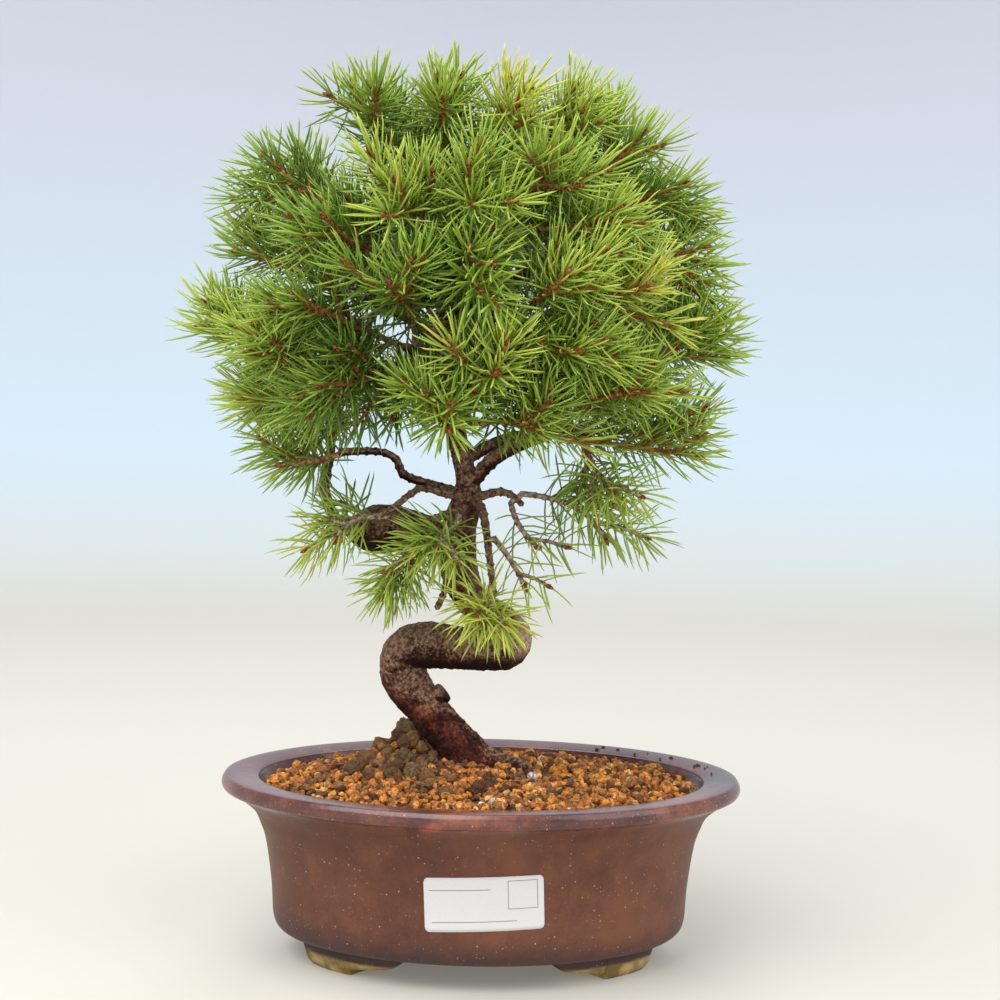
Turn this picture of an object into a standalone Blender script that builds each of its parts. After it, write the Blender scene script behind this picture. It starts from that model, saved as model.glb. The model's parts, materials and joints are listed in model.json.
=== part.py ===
# Spruce bonsai in an oval stoneware pot.
# The pot, drain meshes, soil, blank label, trunk and needle sprays are separate solids.
# Lengths are in millimetres and become metres when a mesh is made.

import math

import bmesh
import bpy
import numpy as np
from mathutils.bvhtree import BVHTree

MM = 0.001
GAP = 0.3
OBJECT_NAME = "spruce_bonsai"

# Pot: an oval with the same inset all round at each height
POT_LENGTH = 165.0
POT_DEPTH = 122.0
POT_HEIGHT = 57.7
POT_SIDES = 36
FOOT_HEIGHT = 7.5
FLOOR_HEIGHT = 12.5
LIP_WIDTH = 11.7
BODY_INSET = 16.3
DRAIN_HOLE_RADIUS = 6.0
DRAIN_HOLE_REACH = 30.0
DRAIN_HOLE_SIDES = 20

# Insets from the rim's outer edge and heights, up the outside to the rim
OUTER_PROFILE = (
    (BODY_INSET + 6.2, FOOT_HEIGHT),
    (BODY_INSET + 2.3, FOOT_HEIGHT + 1.7),
    (BODY_INSET + 0.5, FOOT_HEIGHT + 5.5),
    (BODY_INSET - 0.2, 23.0),
    (BODY_INSET - 2.1, 36.0),
    (BODY_INSET - 4.0, 42.0),
    (9.6, 47.2),
    (3.0, POT_HEIGHT - 5.2),
    (0.6, POT_HEIGHT - 4.2),
    (0.0, POT_HEIGHT - 2.5),
    (0.7, POT_HEIGHT - 0.7),
    (2.3, POT_HEIGHT),
)

# Insets and heights from the lip down the inside to the floor
INNER_PROFILE = (
    (LIP_WIDTH - 1.2, POT_HEIGHT - 0.8),
    (LIP_WIDTH, POT_HEIGHT - 1.7),
    (LIP_WIDTH + 1.2, POT_HEIGHT - 4.0),
    (17.4, 47.0),
    (22.5, 32.0),
    (26.0, 15.0),
    (29.5, FLOOR_HEIGHT),
)

# Feet: four blocks under the oval, each with a slanted outer end and a thin wing toward the middle
FOOT_OUTER_INSET = 24.0
FOOT_INNER_INSET = 34.0
FOOT_ANGLES = (21, 26, 46, 49, 62, 66)
FOOT_UNDERSIDES = (5.0, 0.0, 0.0, 1.9, 3.8, 6.0)

# Drain meshes over the two holes
MESH_WIDTH = 21.0
MESH_THICKNESS = 1.2
MESH_HOLES = 3
MESH_HOLE_WIDTH = 5.0
MESH_PITCH = 6.5
CUTTER_DEPTH = 4.0

# Label: a blank sticker that follows the pot's front
LABEL_WIDTH = 35.1
LABEL_HEIGHT = 16.6
LABEL_THICKNESS = 0.4
LABEL_CORNER = 1.4
LABEL_MIDDLE = (1.5, 28.2)
LABEL_TILT = math.radians(2.5)
LABEL_ROWS = (-1.0, -0.33, 0.33, 1.0)

# Soil: a low mound with lumps
SOIL_LEVEL = 54.0
SOIL_RINGS = 8
SOIL_LAST_STEP = 0.6
SOIL_MOUND = (5.5, 46.0, 30.0)
SOIL_BANK = (9.5, -23.0, 12.0, 13.0)
SOIL_LUMP = 1.0
SOIL_STRAY = 1.4
SOIL_EDGE_DROP = 0.6
SOIL_WALL_GAP = GAP + 0.1
SOIL_HOLE_CLEARANCE = 0.5

# Trunk: x, y, z and radius along its middle line, from the buried base to the leader's tip
TRUNK_SIDES = 10
TRUNK_GUIDE = (
    (1.0, 0.0, 41.5, 5.0),
    (0.5, 0.0, 50.0, 6.4),
    (-1.5, 0.0, 58.0, 7.4),
    (-6.0, 1.0, 64.5, 7.0),
    (-12.5, 2.0, 71.3, 6.4),
    (-19.0, 3.0, 78.5, 6.4),
    (-24.0, 3.5, 84.5, 7.2),
    (-26.2, 3.0, 91.5, 7.4),
    (-23.6, 2.0, 97.0, 7.3),
    (-16.0, -0.5, 98.2, 7.2),
    (-6.5, -4.0, 97.9, 6.6),
    (2.5, -8.0, 98.4, 6.8),
    (8.2, -8.0, 100.2, 7.1),
    (6.0, -4.5, 105.0, 6.2),
    (1.0, -2.0, 108.8, 5.5),
    (-3.8, -0.5, 112.8, 5.2),
    (-7.1, 1.0, 118.2, 5.7),
    (-9.0, 2.0, 124.7, 6.1),
    (-9.2, 2.0, 131.0, 6.0),
    (-8.2, 1.0, 138.0, 5.5),
    (-6.4, 0.0, 144.8, 4.7),
    (-6.4, 0.0, 151.0, 3.5),
    (-9.2, 0.0, 162.0, 3.2),
    (-12.8, 0.0, 178.0, 3.0),
    (-15.0, 0.0, 198.0, 2.7),
    (-14.0, 0.0, 224.0, 2.3),
    (-12.0, -1.0, 243.0, 1.8),
    (-11.0, -1.0, 256.0, 1.4),
)

# A stub where a branch was cut, and the root that runs out to the right
STUB_GUIDE = ((-19.0, 3.0, 77.5, 4.4), (-14.8, 2.3, 81.2, 3.7), (-12.2, 1.8, 83.4, 3.0))
ROOT_GUIDE = (
    (-3.0, 0.0, 61.5, 6.0),
    (5.0, -1.5, 58.2, 5.0),
    (13.0, -2.5, 56.6, 4.0),
    (19.0, -3.5, 51.0, 2.4),
)

# Boughs: x, y, z and radius along each, from the trunk outward
THICK_BOUGH_SIDES = 8
THICK_BOUGH_RADIUS = 4.0
BOUGH_SIDES = 4
BOUGH_GUIDES = (
    ((-9, 2, 129, 5.2), (-19, 2, 133, 6.4), (-29, 3, 135, 7.4), (-36, 5, 134.8, 7.8), (-41, 8, 134.2, 5.2),
     (-45, 11, 134.8, 2.4), (-49, 12.5, 137, 1.9), (-53.4, 14, 147, 1.7), (-51.5, 14, 160, 1.6),
     (-52, 12, 172, 1.5), (-58, 8, 190, 1.3)),
    ((-7, 0, 145.5, 2.4), (-14.4, -0.5, 148.4, 1.8), (-22.7, -2, 150.9, 1.4), (-27, -4, 153, 1.3),
     (-28.5, -5, 157, 1.2), (-33, -7, 159.5, 1.1), (-42, -9.5, 159.6, 1.1), (-60, -12.5, 158, 1.0)),
    ((-13, 0, 176, 2.0), (-26, -7, 181, 1.7), (-46, -12, 184, 1.5), (-60, -13, 188, 1.3)),
    ((-15, 0, 194, 1.9), (-28, -5, 203, 1.6), (-44, -9, 209, 1.4), (-60, -8, 214, 1.2)),
    ((-14, 0, 214, 1.7), (-27, -4, 226, 1.5), (-43, -7, 237, 1.3), (-54, -6, 245, 1.1)),
    ((-14, 0, 184, 1.8), (-20, -16, 189, 1.6), (-28, -38, 192, 1.3)),
    ((-10, 0, 166, 2.0), (-8, -18, 169, 1.7), (-5, -40, 172, 1.3)),
    ((-14, 0, 204, 1.8), (-14, -18, 212, 1.6), (-18, -38, 216, 1.3)),
    ((-14, 0, 220, 1.7), (-6, -18, 228, 1.5), (2, -36, 232, 1.2)),
    ((-7, 0, 147, 2.9), (-3.9, -1, 151.6, 2.5), (2.2, -4, 158.4, 2.3), (12, -6.5, 163.5, 2.0),
     (26, -9, 168, 1.8), (42, -12, 163, 1.5), (52, -14, 159, 1.3)),
    ((-8, 0, 157, 2.2), (2, 7, 163, 2.0), (18, 14, 167, 1.7), (38, 20, 166, 1.3)),
    ((-13, 0, 182, 2.0), (6, -5, 191, 1.8), (30, -9, 196, 1.5), (50, -9, 196, 1.3)),
    ((-15, 0, 202, 1.9), (4, -4, 214, 1.7), (24, -7, 224, 1.5), (42, -8, 230, 1.2)),
    ((-15, 0, 192, 1.8), (-2, -16, 196, 1.6), (14, -36, 198, 1.3)),
    ((-13, -1, 234, 1.5), (-22, -5, 245, 1.3), (-30, -7, 256, 1.1)),
    ((-13, -1, 230, 1.6), (0, 3, 242, 1.4), (14, 4, 253, 1.1)),
    ((-12, 0, 174, 1.9), (-26, 17, 180, 1.6), (-38, 38, 183, 1.3)),
    ((-15, 0, 196, 1.9), (-30, 16, 206, 1.6), (-42, 32, 212, 1.2)),
    ((-14, 0, 186, 1.9), (4, 18, 192, 1.6), (24, 38, 194, 1.3)),
    ((-14, 0, 212, 1.8), (-10, 18, 222, 1.5), (-6, 36, 230, 1.2)),
    ((-9, 0, 162, 2.0), (-8, 18, 166, 1.7), (-4, 40, 164, 1.3)),
    ((-15, 0, 206, 1.8), (6, 14, 217, 1.5), (24, 28, 224, 1.2)),
    ((-4.5, -2, 145.5, 1.8), (-1.5, -7, 142.4, 1.3), (0.2, -9, 134.2, 1.1), (2, -12, 121.2, 1.0),
     (3, -15, 115, 1.0)),
    ((-5, -1, 145.5, 1.8), (-0.5, -3.5, 146.6, 1.3), (4.2, -4, 147.8, 1.2), (9, -5, 146, 1.0),
     (13, -6, 141.5, 1.0)),
    ((-7, -3, 142, 1.8), (-10, -8.5, 141.1, 1.3), (-16.7, -13, 139, 1.1), (-25.2, -18, 134, 1.0)),
    ((-8, -2, 146, 1.8), (-14, -6.5, 147, 1.2), (-21.3, -9, 148.5, 1.1), (-28.8, -13, 142.4, 1.0),
     (-37.8, -16, 137.7, 1.0)),
    ((-9.5, -2, 132.5, 1.8), (-12, -8.5, 130.3, 1.1), (-12.4, -10.5, 117.4, 1.0), (-15.3, -10.5, 110.5, 0.9)),
)

# Shoots that the front shows: x, y, z of each tip and the rise of its end, from -1 down to 1 up
CROWN_TIPS = (
    (-43, -22, 269, 0.8), (-71, -8, 251, 0.55), (-79, -8, 221, 0.4), (-90, -8, 197, 0.3),
    (-76, -10, 175, 0.0), (-17, -27, 271, 0.95), (4, -31, 270, 0.9), (24, -22, 271, 0.85),
    (45, -20, 258, 0.7), (60, -8, 245, 0.5), (66, -10, 225, 0.25), (73, -8, 191, 0.0),
    (65, -12, 160, -0.3), (-27, -60, 235, 0.6), (-47, -55, 225, 0.5), (-7, -60, 240, 0.65),
    (16, -54, 245, 0.7), (36, -52, 230, 0.3), (-55, -54, 203, 0.3), (-28, -66, 206, 0.15),
    (-6, -67, 216, 0.3), (21, -63, 210, 0.4), (45, -50, 208, 0.1), (-70, -38, 188, 0.15),
    (-48, -50, 178, -0.1), (2, -64, 182, 0.0), (25, -60, 189, 0.0), (47, -42, 178, -0.15),
    (-11, -57, 166, -0.5), (14, -50, 167, -0.25),
)

# Low shoots, with the same values and then the length wanted from base to tip
LOW_TIPS = (
    (6, -26, 109, -0.35, 16), (12, -12, 119, -0.9, 17), (16, -7, 131, -0.85, 17),
    (-46, -17, 132.5, -0.25, 18), (-30, -21, 123.5, -0.8, 17), (-14.5, -26, 131, -0.4, 16),
    (-64, -10, 155, -0.4, 20), (37, -11, 134, -0.9, 30), (41, -17, 147, -0.6, 24),
)

# Shoots at the back, spread over the crown's oval by the golden angle
CROWN_MIDDLE = (-9.0, 0.0, 206.0)
CROWN_REACH = (78.0, 70.0, 70.0)
BACK_SPREAD = 40
BACK_LOWEST = -0.62
BACK_START = 0.12
BACK_RISE = (0.8, 0.15)
GOLDEN_ANGLE = math.pi * (3 - math.sqrt(5))

# How shoots grow from the wood
CROWN_STEM = 43.0
LOW_ZONE = 150.0
SHOOT_BEARING = 37.0
MOST_BEARING = 0.78
STEM_RADIUS = 1.05
TIP_RADIUS = 0.85
SIDE_LENGTH = 23.0
SIDE_SHARE = 0.66
SIDE_ROOT = 1.8
SIDE_BARE = 0.3
SIDE_AFTER = 2
SIDE_LEAN = math.radians(48)
SHOOT_CLEARANCE = 1.0
SHOOT_POINTS = 11
END_SHARE = 0.45
END_WEIGHT = 30.0
WOOD_WEIGHT = 16.0
BASES_TRIED = 60
SIDE_DIRECTIONS = 10
CANDIDATE_BENDS = (0.0, 5.0, -5.0, 9.0, -9.0, 14.0, -14.0)
SEATING_STEPS = 8
SEATING_GAP = 0.38
WOOD_STEPS = 2
WOOD_TOLERANCE = 0.25
TRUNK_BARE = 30
BOUGH_BARE = 2
BOUGH_END = 3.0
WHOLE_BOUGHS = (1, 27)

# Needles, drawn out from the faces of short bands round each shoot
NEEDLE_LENGTH = 15.5
TIP_SHORTENING = 0.22
NEEDLE_SPREAD = 2.0
NEEDLE_BAND = 1.3
NEEDLE_CLEARANCE = 0.3
NEEDLE_ROOT_RADIUS = 0.95
NEEDLE_TIP_RADIUS = 0.1
NEEDLE_TRIES = 14
MAIN_CLUSTERS = 4
SHORT_CLUSTERS = 3
SHORT_SHOOT = 34.0
SIDE_CLUSTERS = 2
OPEN_LEAN = math.radians(58)
BAND_LEAN_STEP = math.radians(4)
TIP_LEAN = math.radians(30)
BUD_LENGTH = 2.6
SEED = 41


# Scene and materials

def clear_scene():
    for item in list(bpy.data.objects):
        bpy.data.objects.remove(item, do_unlink=True)


def make_collection(name):
    collection = bpy.data.collections.new(name)
    bpy.context.scene.collection.children.link(collection)
    return collection


def make_material(name, color, roughness):
    material = bpy.data.materials.new(name)
    material.use_nodes = True
    shader = material.node_tree.nodes["Principled BSDF"]
    shader.inputs["Base Color"].default_value = (*color, 1.0)
    shader.inputs["Roughness"].default_value = roughness
    shader.inputs["Metallic"].default_value = 0.0
    return material


# Meshes

def finish_object(name, bm, collection, material):
    bmesh.ops.recalc_face_normals(bm, faces=bm.faces)
    if bm.calc_volume(signed=True) < 0:
        bmesh.ops.reverse_faces(bm, faces=bm.faces)
    mesh = bpy.data.meshes.new(name)
    bm.to_mesh(mesh)
    bm.free()
    item = bpy.data.objects.new(name, mesh)
    collection.objects.link(item)
    if material:
        mesh.materials.append(material)
    return item


# A closed skin over rings of equal count, with a flat face on each end
def loft(rings):
    bm = bmesh.new()
    rows = [[bm.verts.new(np.array(point) * MM) for point in ring] for ring in rings]
    count = len(rows[0])
    for low, high in zip(rows, rows[1:]):
        for i in range(count):
            j = (i + 1) % count
            bm.faces.new((low[i], low[j], high[j], high[i]))
    bm.faces.new(rows[0])
    bm.faces.new(rows[-1])
    return bm


def box_mesh(middle, size):
    bm = bmesh.new()
    bmesh.ops.create_cube(bm, size=1.0)
    bmesh.ops.scale(bm, vec=np.array(size) * MM, verts=bm.verts)
    bmesh.ops.translate(bm, vec=np.array(middle) * MM, verts=bm.verts)
    return bm


def cylinder_mesh(middle, radius, height, sides):
    bm = bmesh.new()
    bmesh.ops.create_cone(bm, segments=sides, radius1=radius * MM, radius2=radius * MM, depth=height * MM,
                          cap_ends=True)
    bmesh.ops.translate(bm, vec=np.array(middle) * MM, verts=bm.verts)
    return bm


def hide_tools(collection):
    for item in collection.objects:
        item.hide_render = True
        item.display_type = "WIRE"


# One Boolean with every object of a collection, applied, after which those objects are removed
def combine(item, tools, operation):
    hide_tools(tools)
    modifier = item.modifiers.new("combine", "BOOLEAN")
    modifier.operation = operation
    modifier.operand_type = "COLLECTION"
    modifier.collection = tools
    modifier.solver = "EXACT"
    bpy.context.view_layer.update()
    view = bpy.context.evaluated_depsgraph_get()
    mesh = bpy.data.meshes.new_from_object(item.evaluated_get(view))
    item.modifiers.remove(modifier)
    item.data = mesh
    for tool in list(tools.objects):
        bpy.data.objects.remove(tool, do_unlink=True)


# A round tube along a path with a radius at each point, as a closed mesh
def tube(name, path, radii, sides, collection):
    curve = bpy.data.curves.new(name, "CURVE")
    curve.dimensions = "3D"
    curve.bevel_depth = MM
    curve.bevel_resolution = (sides - 4) // 2
    curve.use_fill_caps = True
    spline = curve.splines.new("POLY")
    spline.points.add(len(path) - 1)
    for point, place, radius in zip(spline.points, path, radii):
        point.co = (*(np.array(place) * MM), 1.0)
        point.radius = radius
    source = bpy.data.objects.new(name + "_curve", curve)
    collection.objects.link(source)
    bpy.context.view_layer.update()
    view = bpy.context.evaluated_depsgraph_get()
    mesh = bpy.data.meshes.new_from_object(source.evaluated_get(view))
    bpy.data.objects.remove(source, do_unlink=True)
    bm = bmesh.new()
    bm.from_mesh(mesh)
    bmesh.ops.remove_doubles(bm, verts=bm.verts, dist=0.01 * MM)
    return finish_object(name, bm, collection, None)


# Curves

# Points of a smooth curve through guide rows, each row being x, y, z and any further values
def smooth_path(guide, steps):
    rows = np.array(guide, dtype=float)
    rows = np.vstack([2 * rows[0] - rows[1], rows, 2 * rows[-1] - rows[-2]])
    points = []
    for a, b, c, d in zip(rows, rows[1:], rows[2:], rows[3:]):
        for t in np.arange(steps) / steps:
            bend = (2 * a - 5 * b + 4 * c - d) * t**2 + (3 * b - a - 3 * c + d) * t**3
            points.append(b + 0.5 * ((c - a) * t + bend))
    points.append(rows[-2])
    return np.array(points)


def lengths_along(path):
    return np.concatenate([[0.0], np.cumsum(np.linalg.norm(np.diff(path, axis=0), axis=1))])


def point_along(path, distance):
    along = lengths_along(path)
    return np.array([np.interp(distance, along, path[:, axis]) for axis in range(3)])


def unit(vector):
    return vector / max(np.linalg.norm(vector), 1e-9)


def tangent_along(path, distance):
    return unit(point_along(path, distance + 0.6) - point_along(path, distance - 0.6) + 1e-9)


# Pot

def oval_ring(inset, height, count):
    angles = 2 * math.pi * np.arange(count) / count
    x = (POT_LENGTH / 2 - inset) * np.cos(angles)
    y = (POT_DEPTH / 2 - inset) * np.sin(angles)
    return np.stack([x, y, np.full(count, height)], axis=1)


def foot_section(angle, underside):
    rows = []
    for inset, height in ((FOOT_OUTER_INSET, underside), (FOOT_OUTER_INSET, FOOT_HEIGHT + GAP),
                          (FOOT_INNER_INSET, FOOT_HEIGHT + GAP), (FOOT_INNER_INSET, underside)):
        x = (POT_LENGTH / 2 - inset) * math.cos(angle)
        y = (POT_DEPTH / 2 - inset) * math.sin(angle)
        rows.append((x, y, height))
    return np.array(rows)


def add_feet(pot, tools):
    angles = np.radians(FOOT_ANGLES)
    sections = [foot_section(angle, underside) for angle, underside in zip(angles, FOOT_UNDERSIDES)]
    for x_side in (-1, 1):
        for y_side in (-1, 1):
            mirrored = [section * (x_side, y_side, 1) for section in sections]
            finish_object("foot", loft(mirrored), tools, None)
    combine(pot, tools, "UNION")


def make_pot(collection, tools):
    rings = [oval_ring(inset, height, POT_SIDES) for inset, height in OUTER_PROFILE + INNER_PROFILE]
    stoneware = make_material("stoneware", (0.16, 0.075, 0.055), 0.35)
    pot = finish_object("pot", loft(rings), collection, stoneware)
    add_feet(pot, tools)
    for side in (-1, 1):
        middle = (side * DRAIN_HOLE_REACH, 0, FLOOR_HEIGHT)
        hole = cylinder_mesh(middle, DRAIN_HOLE_RADIUS, FLOOR_HEIGHT, DRAIN_HOLE_SIDES)
        finish_object("drain_hole", hole, tools, None)
    combine(pot, tools, "DIFFERENCE")


def make_drain_mesh(name, side, collection, tools):
    height = FLOOR_HEIGHT + GAP + MESH_THICKNESS / 2
    middle = (side * DRAIN_HOLE_REACH, 0, height)
    plastic = make_material("mesh_plastic", (0.02, 0.02, 0.022), 0.5)
    size = (MESH_WIDTH, MESH_WIDTH, MESH_THICKNESS)
    plate = finish_object(name, box_mesh(middle, size), collection, plastic)
    for column in range(MESH_HOLES):
        for row in range(MESH_HOLES):
            x = middle[0] + (column - (MESH_HOLES - 1) / 2) * MESH_PITCH
            y = (row - (MESH_HOLES - 1) / 2) * MESH_PITCH
            hole = box_mesh((x, y, height), (MESH_HOLE_WIDTH, MESH_HOLE_WIDTH, CUTTER_DEPTH))
            finish_object("mesh_hole", hole, tools, None)
    combine(plate, tools, "DIFFERENCE")


# Label

# Half the label's height at a distance from its middle, less at the rounded corners
def label_half_height(across):
    into_corner = max(0.0, abs(across) - (LABEL_WIDTH / 2 - LABEL_CORNER))
    return LABEL_HEIGHT / 2 - LABEL_CORNER + math.sqrt(max(LABEL_CORNER**2 - into_corner**2, 0.0))


# The point on the pot's front at a sideways distance and a height, moved out by an offset
def front_point(x, z, offset):
    heights = [height for _, height in OUTER_PROFILE]
    insets = [inset for inset, _ in OUTER_PROFILE]
    inset = np.interp(z, heights, insets)
    long_axis = POT_LENGTH / 2 - inset
    short_axis = POT_DEPTH / 2 - inset
    y = -short_axis * math.sqrt(1 - (x / long_axis) ** 2)
    normal = unit(np.array([x / long_axis**2, y / short_axis**2, 0.0]))
    return np.array([x, y, z]) + offset * normal


def make_label(collection):
    half = LABEL_WIDTH / 2
    right = [LABEL_WIDTH / 6, LABEL_WIDTH / 3, half - LABEL_CORNER, half - LABEL_CORNER / 3, half]
    columns = [-across for across in right[::-1]] + [0.0] + right
    rings = []
    for across in columns:
        reach = label_half_height(across)
        ring = []
        for offset, order in ((GAP, LABEL_ROWS), (GAP + LABEL_THICKNESS, LABEL_ROWS[::-1])):
            for share in order:
                x = across * math.cos(LABEL_TILT) - share * reach * math.sin(LABEL_TILT)
                z = across * math.sin(LABEL_TILT) + share * reach * math.cos(LABEL_TILT)
                ring.append(front_point(x + LABEL_MIDDLE[0], z + LABEL_MIDDLE[1], offset))
        rings.append(ring)
    finish_object("label", loft(rings), collection, make_material("label_paper", (0.9, 0.9, 0.88), 0.4))


# Soil

def soil_height(x, y):
    mound = SOIL_MOUND[0] * math.exp(-(x / SOIL_MOUND[1]) ** 2 - (y / SOIL_MOUND[2]) ** 2)
    bank_x = (x - SOIL_BANK[1]) / SOIL_BANK[3]
    bank_y = (y - SOIL_BANK[2]) / SOIL_BANK[3]
    return SOIL_LEVEL + mound + SOIL_BANK[0] * math.exp(-(bank_x**2) - bank_y**2)


def soil_rings():
    insets = [inset for inset, _ in INNER_PROFILE][::-1]
    heights = [height for _, height in INNER_PROFILE][::-1]
    rings = [oval_ring(insets[0] + GAP, heights[0] + GAP, POT_SIDES)]
    for inset, height in list(zip(insets, heights))[1:4]:
        rings.append(oval_ring(inset + SOIL_WALL_GAP, height, POT_SIDES))
    edge_height = SOIL_LEVEL - SOIL_EDGE_DROP
    edge = oval_ring(float(np.interp(edge_height, heights, insets)) + SOIL_WALL_GAP, edge_height, POT_SIDES)
    rings.append(edge)
    rng = np.random.default_rng(SEED)
    for step in range(1, SOIL_RINGS + 1):
        share = 1 - step / (SOIL_RINGS + SOIL_LAST_STEP)
        ring = edge * (share, share, 1)
        for row in ring:
            row[:2] += rng.uniform(-SOIL_STRAY, SOIL_STRAY, 2) * share
            row[2] = soil_height(row[0], row[1]) + rng.uniform(-SOIL_LUMP, SOIL_LUMP)
        rings.append(ring)
    rings[-1][:, 2] = soil_height(0, 0)
    return rings


def make_soil(collection, tools):
    akadama = make_material("akadama", (0.42, 0.2, 0.08), 0.9)
    soil = finish_object("soil", loft(soil_rings()), collection, akadama)
    for guide, name in ((TRUNK_GUIDE[:6], "trunk_hole"), (ROOT_GUIDE, "root_hole")):
        path = smooth_path(guide, WOOD_STEPS)
        path[0, 2] -= SOIL_HOLE_CLEARANCE
        path[-1, 2] -= SOIL_HOLE_CLEARANCE if name == "root_hole" else 0
        tube(name, path[:, :3], path[:, 3] + SOIL_HOLE_CLEARANCE, TRUNK_SIDES, tools)
    for side in (-1, 1):
        room = MESH_WIDTH + 2 * GAP
        top = FLOOR_HEIGHT + 2 * GAP + MESH_THICKNESS
        middle = (side * DRAIN_HOLE_REACH, 0, top - CUTTER_DEPTH / 2)
        finish_object("mesh_room", box_mesh(middle, (room, room, CUTTER_DEPTH)), tools, None)
    combine(soil, tools, "DIFFERENCE")


# Trunk and boughs

def wood_paths():
    trunk = smooth_path(TRUNK_GUIDE, WOOD_STEPS)
    boughs = [smooth_path(guide, WOOD_STEPS) for guide in BOUGH_GUIDES]
    return trunk, boughs


# A bough as far as a little past its last shoot
def cut_bough(path, length):
    along = lengths_along(path[:, :3])
    keep = path[along < length]
    end = [np.interp(length, along, path[:, axis]) for axis in range(4)]
    return np.vstack([keep, end])


# A path without the points that lie close to the straight line between its kept points
def thin_path(path):
    kept = [0]
    for i in range(2, len(path)):
        start = path[kept[-1]]
        step = path[i] - start
        between = path[kept[-1] + 1:i] - start
        share = between @ step / (step @ step)
        if np.linalg.norm(between - share[:, None] * step, axis=1).max() > WOOD_TOLERANCE:
            kept.append(i - 1)
    return path[kept + [len(path) - 1]]


def make_trunk(reached, collection, tools):
    trunk_path, bough_paths = wood_paths()
    trunk_path = thin_path(trunk_path)
    trunk = tube("trunk", trunk_path[:, :3], trunk_path[:, 3], TRUNK_SIDES, collection)
    trunk.data.materials.append(make_material("bark", (0.13, 0.06, 0.035), 0.85))
    for name, guide in (("stub", STUB_GUIDE), ("root", ROOT_GUIDE)):
        path = smooth_path(guide, WOOD_STEPS)
        tube(name, path[:, :3], path[:, 3], THICK_BOUGH_SIDES, tools)
    for branch, path in enumerate(bough_paths, start=1):
        if branch not in WHOLE_BOUGHS:
            if branch not in reached:
                continue
            path = cut_bough(path, reached[branch] + BOUGH_END)
        path = thin_path(path)
        sides = THICK_BOUGH_SIDES if path[0, 3] > THICK_BOUGH_RADIUS else BOUGH_SIDES
        tube("bough", path[:, :3], path[:, 3], sides, tools)
    combine(trunk, tools, "UNION")
    return trunk


# Distances between straight pieces

# Nearest distance from one segment to each of many, with the share along both
def segment_distances(start, end, starts, ends):
    d1 = end - start
    d2 = ends - starts
    r = start - starts
    a = max(d1 @ d1, 1e-12)
    e = np.maximum(np.einsum("ij,ij->i", d2, d2), 1e-12)
    f = np.einsum("ij,ij->i", d2, r)
    c = r @ d1
    b = d2 @ d1
    spread = a * e - b * b
    s = np.where(spread > 1e-9, np.clip((b * f - c * e) / np.maximum(spread, 1e-9), 0, 1), 0.0)
    t = np.clip((b * s + f) / e, 0, 1)
    s = np.clip((b * t - c) / a, 0, 1)
    near = start + s[:, None] * d1
    far = starts + t[:, None] * d2
    return np.linalg.norm(near - far, axis=1), s, t


# Straight pieces that are taken, each with a radius at both ends and the number of its spray
class Taken:
    def __init__(self):
        self.rows = np.zeros((0, 9))

    def add(self, starts, ends, radius_start, radius_end, owner):
        count = len(starts)
        extra = [np.full(count, owner)[:, None]]
        radii = np.stack([np.broadcast_to(radius_start, count), np.broadcast_to(radius_end, count)], axis=1)
        self.rows = np.vstack([self.rows, np.hstack([starts, ends, radii] + extra)])

    def add_path(self, path, radius, owner):
        radius = np.broadcast_to(radius, len(path))
        self.add(path[:-1], path[1:], radius[:-1], radius[1:], owner)

    # The smallest free space round a segment whose radius tapers, leaving out the pieces of one spray
    def room(self, start, end, radius_start, radius_end, left_out):
        rows = self.rows[self.rows[:, 8] != left_out]
        if not len(rows):
            return 1e9
        distance, s, t = segment_distances(start, end, rows[:, 0:3], rows[:, 3:6])
        own = radius_start + (radius_end - radius_start) * s
        other = rows[:, 6] + (rows[:, 7] - rows[:, 6]) * t
        return float(np.min(distance - own - other))

    def path_room(self, path, radius, left_out):
        return min(self.room(a, b, radius, radius, left_out) for a, b in zip(path, path[1:]))


WOOD = -1


# Shoots

def back_tips():
    tips = []
    for i in range(BACK_SPREAD):
        rise = 1 - (2 * i + 1) / BACK_SPREAD
        angle = i * GOLDEN_ANGLE
        flat = math.sqrt(1 - rise**2)
        direction = np.array([flat * math.cos(angle), flat * math.sin(angle), rise])
        if direction[1] < BACK_START or rise < BACK_LOWEST:
            continue
        tip = np.array(CROWN_MIDDLE) + direction * CROWN_REACH
        tips.append((*tip, BACK_RISE[0] * rise + BACK_RISE[1]))
    return tips


# Every shoot's tip, the rise of its end and its wanted length
def shoot_rows():
    crown = [(*row, CROWN_STEM) for row in CROWN_TIPS]
    return crown + [*LOW_TIPS] + [(*row, CROWN_STEM) for row in back_tips()]


# Direction of a shoot's end: out from the trunk's upright line, with the given rise
def end_direction(tip, rise):
    away = np.array([tip[0] - CROWN_MIDDLE[0], tip[1] - CROWN_MIDDLE[1], 0.0])
    return unit(unit(away) * math.sqrt(1 - min(rise**2, 0.98)) + np.array([0, 0, rise]))


# Points of the wood that a shoot can leave from: place, direction, radius, branch and length along it
def wood_points():
    trunk, boughs = wood_paths()
    points = []
    for branch, path in enumerate([trunk] + boughs):
        fine = smooth_path(path, 4)
        along = lengths_along(fine[:, :3])
        first = TRUNK_BARE if branch == 0 else BOUGH_BARE
        for i in range(first * 4, len(fine) - 1):
            ahead = unit(fine[i + 1, :3] - fine[i - 1, :3])
            points.append((fine[i, :3], ahead, fine[i, 3], branch, along[i]))
    return points


# A shoot's base just clear of the wood, toward its tip
def shoot_base(point, aim):
    place, ahead, radius = point[:3]
    out = unit(aim - (aim @ ahead) * ahead)
    return place + out * (radius + GAP + 0.15 + STEM_RADIUS * abs(aim @ ahead))


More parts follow.
